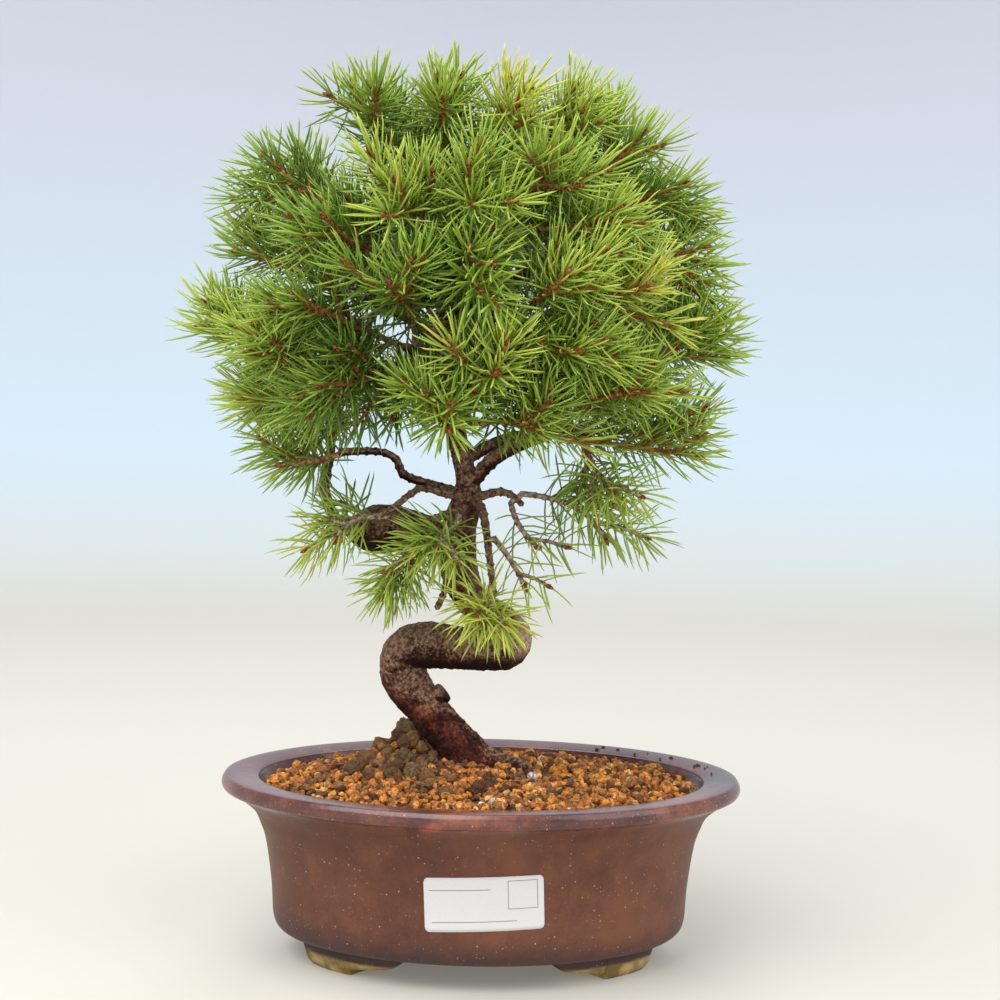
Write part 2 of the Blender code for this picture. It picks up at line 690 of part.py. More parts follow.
# A curve from the base to the tip that ends in a direction, its middle pushed sideways by a bend
def shoot_path(base, tip, direction, bend, aside):
    reach = np.linalg.norm(tip - base)
    middle = tip - direction * END_SHARE * reach + aside * bend
    t = np.linspace(0, 1, SHOOT_POINTS)[:, None]
    return (1 - t) ** 2 * base + 2 * t * (1 - t) * middle + t**2 * tip


def base_cost(point, tip, direction, wanted):
    away = tip - point[0]
    reach = np.linalg.norm(away)
    aim = away / max(reach, 1e-6)
    return abs(reach - wanted) + END_WEIGHT * (1 - aim @ direction) + WOOD_WEIGHT * (1 - aim @ point[1])


# The first of the candidate bases and bends whose curve clears everything placed so far
def grow_main(tip, direction, wanted, points, taken, owner):
    costs = [base_cost(point, tip, direction, wanted) for point in points]
    best = None
    for index in np.argsort(costs)[:BASES_TRIED:2]:
        aim = unit(tip - direction * 8 - points[index][0])
        base = shoot_base(points[index], aim)
        across = unit(np.cross(direction, aim + np.array([0.01, 0.02, 0.03])))
        for aside in (across, unit(np.cross(across, aim))):
            for bend in CANDIDATE_BENDS:
                path = shoot_path(base, tip, direction, bend, aside)
                room = min(taken.path_room(path[1:], STEM_RADIUS, owner),
                           taken.room(path[0], path[1], STEM_RADIUS, STEM_RADIUS, WOOD))
                if best is None or room > best[0]:
                    best = (room, path, points[index])
                if room > SHOOT_CLEARANCE:
                    return path, points[index]
    return best[1:]


# Where a main shoot's needles start, the distance from one cluster to the next, and the clusters
def bearing_layout(main):
    length = lengths_along(main)[-1]
    bearing = min(SHOOT_BEARING, MOST_BEARING * length)
    clusters = MAIN_CLUSTERS if length > SHORT_SHOOT else SHORT_CLUSTERS
    return length - bearing, (bearing - 2 * NEEDLE_BAND) / (clusters - 1), clusters


# How far a place lies outside the crown's oval
def outside_crown(place):
    share = np.linalg.norm((place - CROWN_MIDDLE) / np.array(CROWN_REACH))
    return max(0.0, share - 1.0) * min(CROWN_REACH)


# How long the side shoot of a main shoot is
def side_length(main):
    return min(SIDE_LENGTH, SIDE_SHARE * lengths_along(main)[-1])


# A side shoot leaves the main one at a slant, toward the side with the most room
def grow_side(main, turn, taken, owner):
    first, pitch, clusters = bearing_layout(main)
    distance = first + (SIDE_AFTER - 0.5) * pitch + NEEDLE_BAND
    half = side_length(main) / 2
    start = point_along(main, distance)
    ahead = tangent_along(main, distance)
    first = unit(np.cross(ahead, [0.1, 0.2, 1.0]))
    second = np.cross(ahead, first)
    best = None
    for i in range(SIDE_DIRECTIONS):
        angle = turn + 2 * math.pi * i / SIDE_DIRECTIONS
        out = first * math.cos(angle) + second * math.sin(angle)
        aim = ahead * math.cos(SIDE_LEAN) + out * math.sin(SIDE_LEAN)
        middle = start + aim * half
        tip = middle + unit(aim + ahead * 0.35) * half
        room = min(taken.room(start + aim * 3, middle, TIP_RADIUS, TIP_RADIUS, owner),
                   taken.room(middle, tip, TIP_RADIUS, TIP_RADIUS, owner))
        room -= 2 * outside_crown(tip) if start[2] > LOW_ZONE else 0
        if best is None or room > best[0]:
            best = (room, np.array([start, start + aim * 3, middle, tip]))
    return best[1]


def plan_shoots():
    trunk, boughs = wood_paths()
    taken = Taken()
    for path in [trunk] + boughs:
        taken.add_path(path[:, :3], path[:, 3], WOOD)
    points = wood_points()
    rows = shoot_rows()
    mains = []
    reached = {}
    for owner, row in enumerate(rows):
        tip = np.array(row[:3], dtype=float)
        main, point = grow_main(tip, end_direction(tip, row[3]), row[4], points, taken, owner)
        taken.add_path(main, STEM_RADIUS, owner)
        mains.append(main)
        reached[point[3]] = max(reached.get(point[3], 0.0), point[4])
    plans = []
    for owner, main in enumerate(mains):
        side = grow_side(main, owner * GOLDEN_ANGLE, taken, owner)
        taken.add_path(side[1:], TIP_RADIUS, owner)
        plans.append((main, side))
    return plans, taken, reached


# Needle sprays

# A shoot's mesh as it grows: its end face, its middle line and the directions of its corners
class Growth:
    def __init__(self, bm, face, path):
        self.bm = bm
        self.face = face
        self.path = path
        ahead = tangent_along(path, 0.7)
        middle = np.mean([np.array(vert.co) / MM for vert in face.verts], axis=0)
        self.corners = [self.flatten(np.array(vert.co) / MM - middle, ahead) for vert in face.verts]

    def flatten(self, vector, ahead):
        return unit(vector - (vector @ ahead) * ahead)

    # Extrude the end face to a new place and return the faces round the new stretch
    def extend(self, distance, radius, twist):
        made = bmesh.ops.extrude_discrete_faces(self.bm, faces=[self.face])
        self.face = made["faces"][0]
        middle = point_along(self.path, distance)
        ahead = tangent_along(self.path, distance)
        for i, vert in enumerate(self.face.verts):
            corner = self.flatten(self.corners[i], ahead)
            corner = corner * math.cos(twist) + np.cross(ahead, corner) * math.sin(twist)
            self.corners[i] = corner
            vert.co = (middle + corner * radius) * MM
        return [face for edge in self.face.edges for face in edge.link_faces if face != self.face]


def base_corners(path):
    ahead = tangent_along(path, 0.7)
    first = unit(np.cross(ahead, [0.3, 0.2, 1.0]))
    second = np.cross(ahead, first)
    angles = [2 * math.pi * i / 3 for i in range(3)]
    return [path[0] + STEM_RADIUS * (first * math.cos(a) + second * math.sin(a)) for a in angles]


# Slide a shoot's base back toward the wood until its nearest point is one seating gap away
def seat_base(path, wood):
    ahead = tangent_along(path, 0.7)
    for _ in range(SEATING_STEPS):
        corners = base_corners(path)
        middles = [(a + b) / 2 for a, b in zip(corners, corners[1:] + corners[:1])]
        near = min(wood.find_nearest(point * MM)[3] for point in [path[0], *corners, *middles]) / MM
        path[0] -= ahead * (near - SEATING_GAP)


def start_shoot(bm, path):
    ring = [bm.verts.new(corner * MM) for corner in base_corners(path)]
    return ring, Growth(bm, bm.faces.new(ring), path)


# True where the faces round a needle's tip cut another face of the same mesh
def tip_cuts(bm, tip):
    bm.verts.index_update()
    spots = [vert.co.copy() for vert in bm.verts]
    own = [[vert.index for vert in face.verts] for face in tip.link_faces]
    rest = [[vert.index for vert in face.verts] for face in bm.faces if tip not in face.verts[:]]
    pairs = BVHTree.FromPolygons(spots, own).overlap(BVHTree.FromPolygons(spots, rest))
    return any(not set(own[a]) & set(rest[b]) for a, b in pairs)


# Draw a face out to a needle's tip, in the first of several directions that crosses nothing
def raise_needle(bm, needle, rng, taken, owner):
    face, ahead, out, lean, full_length = needle
    root = np.array(face.calc_center_median()) / MM
    across = np.cross(ahead, out)
    tip = bmesh.ops.poke(bm, faces=[face])["verts"][0]
    draws = rng.uniform(-1, 1, (NEEDLE_TRIES, 3))
    for attempt, (swing, tilt, size) in enumerate(draws):
        loose = 1 + 2 * attempt / NEEDLE_TRIES
        length = (full_length + NEEDLE_SPREAD * size) * (1 - 0.03 * attempt)
        angle = lean + 0.12 * tilt * loose
        aim = unit(ahead * math.cos(angle) + (out + across * 0.2 * swing * loose) * math.sin(angle))
        end = root + aim * length
        tip.co = end * MM
        room = taken.room(root, end, NEEDLE_ROOT_RADIUS, NEEDLE_TIP_RADIUS, owner)
        if room > NEEDLE_CLEARANCE and not tip_cuts(bm, tip):
            taken.add(root[None], end[None], NEEDLE_ROOT_RADIUS, NEEDLE_TIP_RADIUS, owner)
            return
    bmesh.ops.dissolve_verts(bm, verts=[tip])


# Two bands of faces round a shoot, the second turned so that its needles stand between the first's
def add_cluster(growth, distance, share):
    twist = math.pi / len(growth.corners) * 0.55
    lean = OPEN_LEAN + (TIP_LEAN - OPEN_LEAN) * share**2
    needles = []
    for band in range(2):
        start = distance + band * NEEDLE_BAND
        faces = growth.extend(start + NEEDLE_BAND, TIP_RADIUS, twist)
        middle = point_along(growth.path, start + NEEDLE_BAND / 2)
        ahead = tangent_along(growth.path, start + NEEDLE_BAND / 2)
        for face in faces:
            out = np.array(face.calc_center_median()) / MM - middle
            out = unit(out - (out @ ahead) * ahead)
            length = NEEDLE_LENGTH * (1 - TIP_SHORTENING * share**2)
            needles.append((face, ahead, out, lean - band * BAND_LEAN_STEP, length))
    return needles


# Clusters from a distance along a shoot to its pointed tip, with a short band before one for a side shoot
def add_clusters(growth, first, pitch, clusters, root_before):
    needles = []
    roots = []
    for i in range(clusters):
        distance = first + i * pitch
        if i == root_before:
            middle = distance - pitch / 2 + NEEDLE_BAND
            growth.extend(middle - SIDE_ROOT / 2, TIP_RADIUS, 0.0)
            roots = growth.extend(middle + SIDE_ROOT / 2, TIP_RADIUS, 0.0)
        growth.extend(distance, TIP_RADIUS, 0.25)
        needles += add_cluster(growth, distance, i / (clusters - 1))
    point = bmesh.ops.poke(growth.bm, faces=[growth.face])["verts"][0]
    length = lengths_along(growth.path)[-1]
    point.co = (growth.path[-1] + tangent_along(growth.path, length) * BUD_LENGTH) * MM
    return needles, roots


# The face of a band that looks most toward an aim
def face_toward(faces, aim):
    middle = np.mean([np.array(face.calc_center_median()) for face in faces], axis=0)
    return max(faces, key=lambda face: unit(np.array(face.calc_center_median()) - middle) @ aim)


def make_spray(name, plan, owner, taken, wood, collection, material):
    main, side = plan
    seat_base(main, wood)
    bm = bmesh.new()
    ring, growth = start_shoot(bm, main)
    first, pitch, clusters = bearing_layout(main)
    growth.extend(first * 0.5, STEM_RADIUS, 0.0)
    bm.faces.new(ring[::-1])
    needles, roots = add_clusters(growth, first, pitch, clusters, SIDE_AFTER)
    root = face_toward(roots, side[1] - side[0])
    start = np.array(root.calc_center_median()) / MM
    branch = Growth(bm, root, np.vstack([start, side[1:]]))
    reach = lengths_along(branch.path)[-1]
    side_pitch = reach * (1 - SIDE_BARE) - 2 * NEEDLE_BAND
    needles += add_clusters(branch, reach * SIDE_BARE, side_pitch, SIDE_CLUSTERS, None)[0]
    rng = np.random.default_rng(SEED + owner)
    for needle in needles:
        raise_needle(bm, needle, rng, taken, owner)
    return finish_object(name, bm, collection, material)


def make_sprays(plans, taken, trunk, collection):
    wood = BVHTree.FromObject(trunk, bpy.context.evaluated_depsgraph_get())
    material = make_material("needles", (0.16, 0.28, 0.05), 0.5)
    for owner, plan in enumerate(plans):
        make_spray(f"spray_{owner + 1:02d}", plan, owner, taken, wood, collection, material)


# Stand the whole object with the middle of its box over the origin
def centre_object(collection):
    corners = [item.matrix_world @ vert.co for item in collection.objects for vert in item.data.vertices]
    points = np.array(corners)
    middle = (points.min(axis=0) + points.max(axis=0)) / 2
    for item in collection.objects:
        item.location.x -= middle[0]
        item.location.y -= middle[1]


def main():
    clear_scene()
    collection = make_collection(OBJECT_NAME)
    tools = make_collection("cutters")
    make_pot(collection, tools)
    make_drain_mesh("drain_mesh_left", -1, collection, tools)
    make_drain_mesh("drain_mesh_right", 1, collection, tools)
    make_label(collection)
    make_soil(collection, tools)
    plans, taken, reached = plan_shoots()
    trunk = make_trunk(reached, collection, tools)
    make_sprays(plans, taken, trunk, collection)
    centre_object(collection)


main()
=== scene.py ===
# Spruce bonsai in an oval stoneware pot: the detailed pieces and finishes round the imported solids.
# Lengths are in millimetres from the pot's middle on the floor, and become metres as a mesh is made.
import json
import math

import bpy
import numpy as np
from mathutils import Matrix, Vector
from mathutils.bvhtree import BVHTree

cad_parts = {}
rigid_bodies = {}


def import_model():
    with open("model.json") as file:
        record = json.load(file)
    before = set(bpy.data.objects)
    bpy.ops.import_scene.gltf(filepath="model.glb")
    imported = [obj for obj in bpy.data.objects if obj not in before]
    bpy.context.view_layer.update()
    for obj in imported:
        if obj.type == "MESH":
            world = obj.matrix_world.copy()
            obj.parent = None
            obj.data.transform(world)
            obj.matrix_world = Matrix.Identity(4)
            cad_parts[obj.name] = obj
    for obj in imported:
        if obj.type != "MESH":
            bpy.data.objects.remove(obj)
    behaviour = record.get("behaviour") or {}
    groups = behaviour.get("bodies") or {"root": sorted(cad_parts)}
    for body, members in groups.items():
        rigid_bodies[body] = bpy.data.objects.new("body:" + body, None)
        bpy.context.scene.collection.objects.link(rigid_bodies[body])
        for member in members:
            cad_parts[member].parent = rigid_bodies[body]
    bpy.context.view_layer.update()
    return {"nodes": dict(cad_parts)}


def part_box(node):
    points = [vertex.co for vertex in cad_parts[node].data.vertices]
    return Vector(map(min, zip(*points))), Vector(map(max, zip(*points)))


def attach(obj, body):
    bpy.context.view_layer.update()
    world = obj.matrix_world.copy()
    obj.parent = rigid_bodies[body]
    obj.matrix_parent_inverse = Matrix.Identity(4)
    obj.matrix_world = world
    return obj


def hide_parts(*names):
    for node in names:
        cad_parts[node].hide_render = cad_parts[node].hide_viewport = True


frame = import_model()
mm = 0.001
goldenAngle = math.pi * (3 - math.sqrt(5))
potLow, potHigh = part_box("pot")
potMiddle = np.array([(potLow.x + potHigh.x) / 2, (potLow.y + potHigh.y) / 2, 0.0])
print("frame loaded:", len(frame["nodes"]), "nodes")


# Camera

cameraSettings = {
    "distance": 499.1,
    "height": 159.1,
    "yaw": 0.0084,
    "pitch": 0.0282,
    "roll": 0.0197,
    "lens": 56.38,
}


# The eye stands in front of the pot; forward is turned by yaw and pitch, and right and up by roll
def addCamera(s):
    yaw, pitch, roll = s["yaw"], s["pitch"], s["roll"]
    forward = np.array([math.sin(yaw) * math.cos(pitch), math.cos(yaw) * math.cos(pitch), -math.sin(pitch)])
    level = np.array([math.cos(yaw), -math.sin(yaw), 0.0])
    upright = np.cross(level, forward)
    right = math.cos(roll) * level + math.sin(roll) * upright
    up = -math.sin(roll) * level + math.cos(roll) * upright
    eye = potMiddle + np.array([0.0, -s["distance"], s["height"]]) * mm
    data = bpy.data.cameras.new("photoView")
    data.lens = s["lens"]
    data.sensor_width = 36.0
    data.clip_start, data.clip_end = 0.01, 50.0
    item = bpy.data.objects.new("photoView", data)
    bpy.context.scene.collection.objects.link(item)
    rows = np.eye(4)
    rows[:3, 0], rows[:3, 1], rows[:3, 2], rows[:3, 3] = right, up, -forward, eye
    item.matrix_world = Matrix(rows.tolist())
    bpy.context.scene.camera = item


addCamera(cameraSettings)


# Shapes in numpy

# A vector scaled to length one, row by row
def unit(vector):
    return vector / np.maximum(np.linalg.norm(vector, axis=-1, keepdims=True), 1e-9)


# Catmull-Rom curve through guide rows of x, y, z and any further values
def smoothPath(guide, steps):
    rows = np.array(guide, dtype=float)
    rows = np.vstack([2 * rows[0] - rows[1], rows, 2 * rows[-1] - rows[-2]])
    points = []
    for a, b, c, d in zip(rows, rows[1:], rows[2:], rows[3:]):
        for t in np.arange(steps) / steps:
            bend = (2 * a - 5 * b + 4 * c - d) * t**2 + (3 * b - a - 3 * c + d) * t**3
            points.append(b + 0.5 * ((c - a) * t + bend))
    points.append(rows[-2])
    return np.array(points)


# Distance from the start to each point, as the sum of the straight pieces
def lengthsAlong(path):
    return np.concatenate([[0.0], np.cumsum(np.linalg.norm(np.diff(path[:, :3], axis=0), axis=1))])


# Every column of a path read off at distances along it
def readPath(path, distances):
    along = lengthsAlong(path)
    return np.stack([np.interp(distances, along, column) for column in path.T], axis=-1)


# Direction of a path at distances along it, from points 0.6 mm either side
def tangentAlong(path, distances):
    ahead = readPath(path, distances + 0.6) - readPath(path, distances - 0.6)
    return unit(ahead[..., :3] + 1e-9)


# Smooth noise from -1 to 1: hashed values at the corners of a lattice, blended by 3t^2 - 2t^3
def noise(points, cell, seed):
    spot = points / cell
    base = np.floor(spot).astype(np.int64)
    part = spot - base
    part = part * part * (3 - 2 * part)
    total = np.zeros(points.shape[:-1])
    for corner in np.ndindex(2, 2, 2):
        place = base + corner
        mix = place[..., 0] * 73856093 ^ place[..., 1] * 19349663 ^ place[..., 2] * 83492791 ^ seed * 2971215073
        mix = (mix ^ (mix >> 13)) * 1274126177 & 0xFFFFFFFF
        weight = np.prod(np.where(np.array(corner) == 1, part, 1 - part), axis=-1)
        total += weight * (((mix ^ (mix >> 16)) & 0xFFFF) / 32767.5 - 1)
    return total


# Directions across each path, carried from ring to ring so that they don't twist
def carriedAcross(paths, ahead):
    rough = np.broadcast_to(np.array([0.31, 0.17, 0.94]), ahead[:, 0].shape)
    across = np.empty_like(ahead)
    last = unit(np.cross(ahead[:, 0], rough))
    for ring in range(paths.shape[1]):
        last = unit(last - np.sum(last * ahead[:, ring], axis=-1, keepdims=True) * ahead[:, ring])
        across[:, ring] = last
    return across


# Tubes along many paths at once: point = path + radius * (cos a * first + sin a * second).
# Rings stand at all points but the ends, where a pole closes the tube.
def tubes(paths, radii, sides, across=None):
    ahead = unit(np.gradient(paths, axis=1))
    first = carriedAcross(paths, ahead) if across is None else across
    second = np.cross(ahead, first)
    angles = 2 * math.pi * np.arange(sides) / sides
    spread = first[:, :, None] * np.cos(angles)[:, None] + second[:, :, None] * np.sin(angles)[:, None]
    if radii.ndim == 2:
        radii = radii[:, :, None]
    rings = (paths[:, :, None] + spread * radii[..., None])[:, 1:-1]
    count, ringCount = rings.shape[:2]
    points = np.concatenate([rings.reshape(count, -1, 3), paths[:, :1], paths[:, -1:]], axis=1)
    return points, tubeFaces(count, ringCount, sides)


# Quads between rings that wrap round, and a fan of triangles to the pole at each end
def tubeFaces(count, ringCount, sides):
    ring = np.arange(ringCount - 1)[:, None] * sides
    side = np.arange(sides)[None]
    after = (side + 1) % sides
    quads = np.stack([ring + side, ring + after, ring + sides + after, ring + sides + side], axis=-1).reshape(-1, 4)
    start, end = ringCount * sides, ringCount * sides + 1
    side, after = side[0], after[0]
    low = np.stack([np.full(sides, start), after, side], axis=-1)
    last = (ringCount - 1) * sides
    high = np.stack([np.full(sides, end), last + side, last + after], axis=-1)
    shift = (np.arange(count) * (ringCount * sides + 2))[:, None, None]
    return [(quads[None] + shift).reshape(-1, 4), (np.vstack([low, high])[None] + shift).reshape(-1, 3)]


# Several sets of points and faces as one set
def joined(parts):
    shift = 0
    points, faces = [], []
    for part, partFaces in parts:
        flat = part.reshape(-1, 3)
        points.append(flat)
        faces += [face + shift for face in partFaces]
        shift += len(flat)
    return np.vstack(points), faces


# One object of the tree or pot from points in millimetres, its faces, and numbers kept for its material
def addPiece(name, points, faces, material, values=None, smooth=True):
    mesh = bpy.data.meshes.new(name)
    place = points.reshape(-1, 3) * mm + potMiddle
    sizes = np.concatenate([np.full(len(face), face.shape[1]) for face in faces])
    corners = np.concatenate([face.ravel() for face in faces]).astype(np.int32)
    mesh.vertices.add(len(place))
    mesh.vertices.foreach_set("co", place.ravel())
    mesh.loops.add(len(corners))
    mesh.loops.foreach_set("vertex_index", corners)
    mesh.polygons.add(len(sizes))
    mesh.polygons.foreach_set("loop_start", (np.cumsum(sizes) - sizes).astype(np.int32))
    mesh.polygons.foreach_set("use_smooth", np.full(len(sizes), smooth))
    mesh.update(calc_edges=True)
    for key, numbers in (values or {}).items():
        kept = mesh.attributes.new(key, "FLOAT", "POINT")
        kept.data.foreach_set("value", np.ravel(numbers).astype(np.float32))
    mesh.materials.append(material)
    item = bpy.data.objects.new(name, mesh)
    bpy.context.scene.collection.objects.link(item)
    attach(item, "root")
    return item


# Finishes

# A screen colour of 0 to 255 as the shader's linear colour
def screen(red, green, blue):
    shares = [value / 255 for value in (red, green, blue)]
    return tuple(s / 12.92 if s <= 0.04045 else ((s + 0.055) / 1.055) ** 2.4 for s in shares) + (1.0,)


# A short way to place shader nodes and join their sockets
class NodeDesk:
    def __init__(self, tree):
        self.tree = tree

    def add(self, kind, inputs=None, **settings):
        node = self.tree.nodes.new(kind)
        for key, value in settings.items():
            setattr(node, key, value)
        for key, value in (inputs or {}).items():
            self.feed(value, node.inputs[key])
        return node

    def feed(self, value, socket):
        if isinstance(value, bpy.types.NodeSocket):
            self.tree.links.new(value, socket)
        else:
            socket.default_value = value

    def sum(self, kind, a, b=0.0, clamp=False):
        return self.add("ShaderNodeMath", {0: a, 1: b}, operation=kind, use_clamp=clamp).outputs[0]

    def times(self, a, b):
        return self.sum("MULTIPLY", a, b)

    def plus(self, a, b, clamp=False):
        return self.sum("ADD", a, b, clamp)

    def minus(self, a, b):
        return self.sum("SUBTRACT", a, b)

    # The colour sockets of a mix node are its inputs 6 and 7
    def mix(self, share, a, b):
        return self.add("ShaderNodeMix", {0: share, 6: a, 7: b}, data_type="RGBA").outputs[2]

    def ramp(self, value, stops):
        node = self.add("ShaderNodeValToRGB", {"Fac": value})
        band = node.color_ramp.elements
        while len(band) < len(stops):
            band.new(0.5)
        for element, (place, colour) in zip(band, stops):
            element.position = place
            element.color = colour
        return node.outputs["Color"]

    def grey(self, value, low, high):
        return self.add("ShaderNodeMapRange", {"Value": value, "From Min": low, "From Max": high}).outputs["Result"]

    def attribute(self, name):
        return self.add("ShaderNodeAttribute", attribute_name=name).outputs["Fac"]

    def position(self):
        return self.add("ShaderNodeTexCoord").outputs["Object"]

    def speckle(self, vector, scale, detail=4.0, rough=0.55):
        node = self.add("ShaderNodeTexNoise",
                        {"Vector": vector, "Scale": scale, "Detail": detail, "Roughness": rough})
        return node.outputs["Fac"]

    # One round a place on the pot, given in millimetres with its reach each way, fading to nothing at its edge
    def spotOn(self, middle, reach):
        place = self.add("ShaderNodeVectorMath", {0: self.position(), 1: tuple(np.array(middle) * mm + potMiddle)},
                         operation="SUBTRACT").outputs[0]
        scaled = self.add("ShaderNodeVectorMath", {0: place, 1: tuple(1 / (np.array(reach) * mm))},
                          operation="MULTIPLY").outputs[0]
        away = self.add("ShaderNodeVectorMath", {0: scaled}, operation="LENGTH").outputs["Value"]
        return self.grey(away, 1.0, 0.6)


# A new material with its desk and its shader
def newMaterial(name):
    material = bpy.data.materials.new(name)
    material.use_nodes = True
    desk = NodeDesk(material.node_tree)
    return material, desk, material.node_tree.nodes["Principled BSDF"]


# A roughness and a specular level that are the same all over the surface
def setGloss(shader, roughness, specular=None):
    shader.inputs["Roughness"].default_value = roughness
    if specular is not None:
        shader.inputs["Specular IOR Level"].default_value = specular


# Relief shared by the bark, clay and glaze: two sizes of noise as one bump, with its own strength
def makeReliefGroup():
    tree = bpy.data.node_groups.new("fineRelief", "ShaderNodeTree")
    for name, kind, value in (("Vector", "NodeSocketVector", None), ("Grain", "NodeSocketFloat", 900.0),
                              ("Depth", "NodeSocketFloat", 0.0002), ("Strength", "NodeSocketFloat", 0.5)):
        socket = tree.interface.new_socket(name=name, in_out="INPUT", socket_type=kind)
        if value is not None:
            socket.default_value = value
    tree.interface.new_socket(name="Normal", in_out="OUTPUT", socket_type="NodeSocketVector")
    tree.interface.new_socket(name="Height", in_out="OUTPUT", socket_type="NodeSocketFloat")
    desk = NodeDesk(tree)
    inside = desk.add("NodeGroupInput")
    outside = desk.add("NodeGroupOutput")
    coarse = desk.speckle(inside.outputs["Vector"], inside.outputs["Grain"])
    finer = desk.times(inside.outputs["Grain"], 3.1)
    fine = desk.speckle(inside.outputs["Vector"], finer)
    height = desk.plus(coarse, desk.times(fine, 0.4))
    bump = desk.add("ShaderNodeBump", {"Height": height, "Distance": inside.outputs["Depth"],
                                       "Strength": inside.outputs["Strength"]})
    tree.links.new(bump.outputs["Normal"], outside.inputs["Normal"])
    tree.links.new(height, outside.inputs["Height"])
    return tree


reliefGroup = makeReliefGroup()


# The shared relief, joined to the shader's normal
def addRelief(desk, shader, vector, grain, depth, strength):
    node = desk.add("ShaderNodeGroup", node_tree=reliefGroup)
    for key, value in (("Vector", vector), ("Grain", grain), ("Depth", depth), ("Strength", strength)):
        desk.feed(value, node.inputs[key])
    desk.feed(node.outputs["Normal"], shader.inputs["Normal"])
    return node.outputs["Height"]


# Needles: deep green inside the crown, partly painted shade, yellow-green outside, paler at the root and tip
def makeNeedleFinish():
    material, desk, shader = newMaterial("needleGreen")
    shade = desk.attribute("shade")
    along = desk.attribute("along")
    green = desk.ramp(shade, [(0.0, screen(66, 90, 34)), (0.3, screen(106, 138, 46)), (0.55, screen(146, 174, 62)),
                              (0.8, screen(186, 204, 84)), (1.0, screen(218, 212, 92))])
    tip = desk.grey(along, 0.8, 1.0)
    pale = desk.mix(desk.times(tip, 0.2), green, screen(206, 208, 122))
    root = desk.grey(along, 0.12, 0.0)
    colour = desk.mix(desk.times(root, 0.6), pale, screen(150, 130, 70))
    desk.feed(colour, shader.inputs["Base Color"])
    setGloss(shader, 0.45, 0.35)
    return material


# Twig bark: orange-brown on new shoots, grey-tan on old ones, red-brown buds
def makeTwigFinish():
    material, desk, shader = newMaterial("twigBark")
    age = desk.attribute("age")
    bud = desk.attribute("bud")
    spot = desk.position()
    patch = desk.speckle(spot, 700.0)
    young = desk.mix(desk.grey(patch, 0.36, 0.64), screen(128, 62, 32), screen(200, 128, 76))
    old = desk.mix(desk.grey(patch, 0.38, 0.62), screen(112, 84, 66), screen(212, 188, 164))
    bark = desk.mix(age, young, old)
    scales = desk.mix(desk.grey(desk.speckle(spot, 1600.0), 0.4, 0.6), screen(104, 42, 28), screen(190, 108, 72))
    desk.feed(desk.mix(bud, bark, scales), shader.inputs["Base Color"])
    setGloss(shader, 0.75, 0.25)
    addRelief(desk, shader, spot, 1500.0, 0.00025, 0.6)
    return material


# Trunk bark: red-brown with dark hollows as painted shade, brown-tan flakes above, near black underneath as painted
# shade, and a pale bulb as painted light
def makeBarkFinish():
    material, desk, shader = newMaterial("trunkBark")
    spot = desk.position()
    upper = desk.attribute("upper")
    fibre = desk.attribute("fibre")
    low = desk.attribute("low")
    worn = desk.attribute("worn")
    patch = desk.speckle(spot, 150.0, 5.0)
    grain = desk.speckle(spot, 820.0, 6.0, 0.7)
    red = desk.ramp(desk.plus(desk.times(patch, 0.5), desk.times(grain, 0.5)),
                    [(0.4, screen(34, 14, 10)), (0.48, screen(72, 31, 21)), (0.56, screen(108, 54, 38)),
                     (0.66, screen(156, 98, 74))])
    flakeMask = desk.plus(desk.times(upper, 0.8), desk.times(patch, 0.6))
    flakeMask = desk.minus(flakeMask, desk.times(low, 0.46))
    flakes = desk.grey(desk.plus(flakeMask, desk.times(grain, 0.8)), 0.84, 1.06)
    tan = desk.ramp(grain, [(0.36, screen(88, 58, 42)), (0.48, screen(128, 94, 72)), (0.62, screen(178, 144, 118))])
    colour = desk.mix(flakes, red, tan)
    # painted light: the bulb at the bend's right end is made pale tan where the light falls on it
    pinkTan = desk.mix(desk.grey(grain, 0.4, 0.6), screen(150, 112, 92), screen(206, 172, 148))
    colour = desk.mix(worn, colour, pinkTan)
    # painted shade: the bark is darkened where its relief sinks in, less so on the lit bulb
    hollowShade = desk.grey(desk.plus(fibre, desk.times(grain, 0.9)), 0.9, 0.66)
    hollowShade = desk.times(hollowShade, desk.minus(0.68, desk.times(worn, 0.45)))
    colour = desk.mix(hollowShade, colour, screen(36, 18, 12))
    # painted shade: bark that faces down is darkened toward near black
    under = desk.grey(desk.plus(upper, desk.times(patch, 0.2)), 0.44, 0.12)
    colour = desk.mix(desk.times(under, 0.88), colour, screen(24, 12, 8))
    desk.feed(colour, shader.inputs["Base Color"])
    setGloss(shader, 0.8, 0.2)
    addRelief(desk, shader, spot, 700.0, 0.0013, 1.0)
    return material


# Fired clay granules: orange to brown and dark, each with its own tone
def makeGrainFinish():
    material, desk, shader = newMaterial("clayGrains")
    tone = desk.attribute("tone")
    spot = desk.position()
    base = desk.ramp(tone, [(0.0, screen(34, 28, 24)), (0.14, screen(92, 70, 50)), (0.3, screen(150, 112, 76)),
                            (0.48, screen(204, 132, 66)), (0.75, screen(250, 164, 72)), (0.96, screen(252, 206, 136)),
                            (1.0, screen(232, 226, 220))])
    dust = desk.speckle(spot, 900.0)
    clay = desk.mix(desk.grey(dust, 0.6, 0.34), base, screen(112, 70, 42))
    green = desk.mix(desk.grey(desk.speckle(spot, 1300.0), 0.4, 0.6), screen(64, 54, 34), screen(144, 130, 86))
    desk.feed(desk.mix(desk.attribute("moss"), clay, green), shader.inputs["Base Color"])
    setGloss(shader, 0.9, 0.2)
    addRelief(desk, shader, spot, 1500.0, 0.0003, 0.8)
    return material


# Needles that have fallen: rust to straw
def makeFallenFinish():
    material, desk, shader = newMaterial("fallenNeedles")
    desk.feed(desk.mix(desk.attribute("tone"), screen(122, 50, 28), screen(206, 120, 70)),
              shader.inputs["Base Color"])
    setGloss(shader, 0.7)
    return material
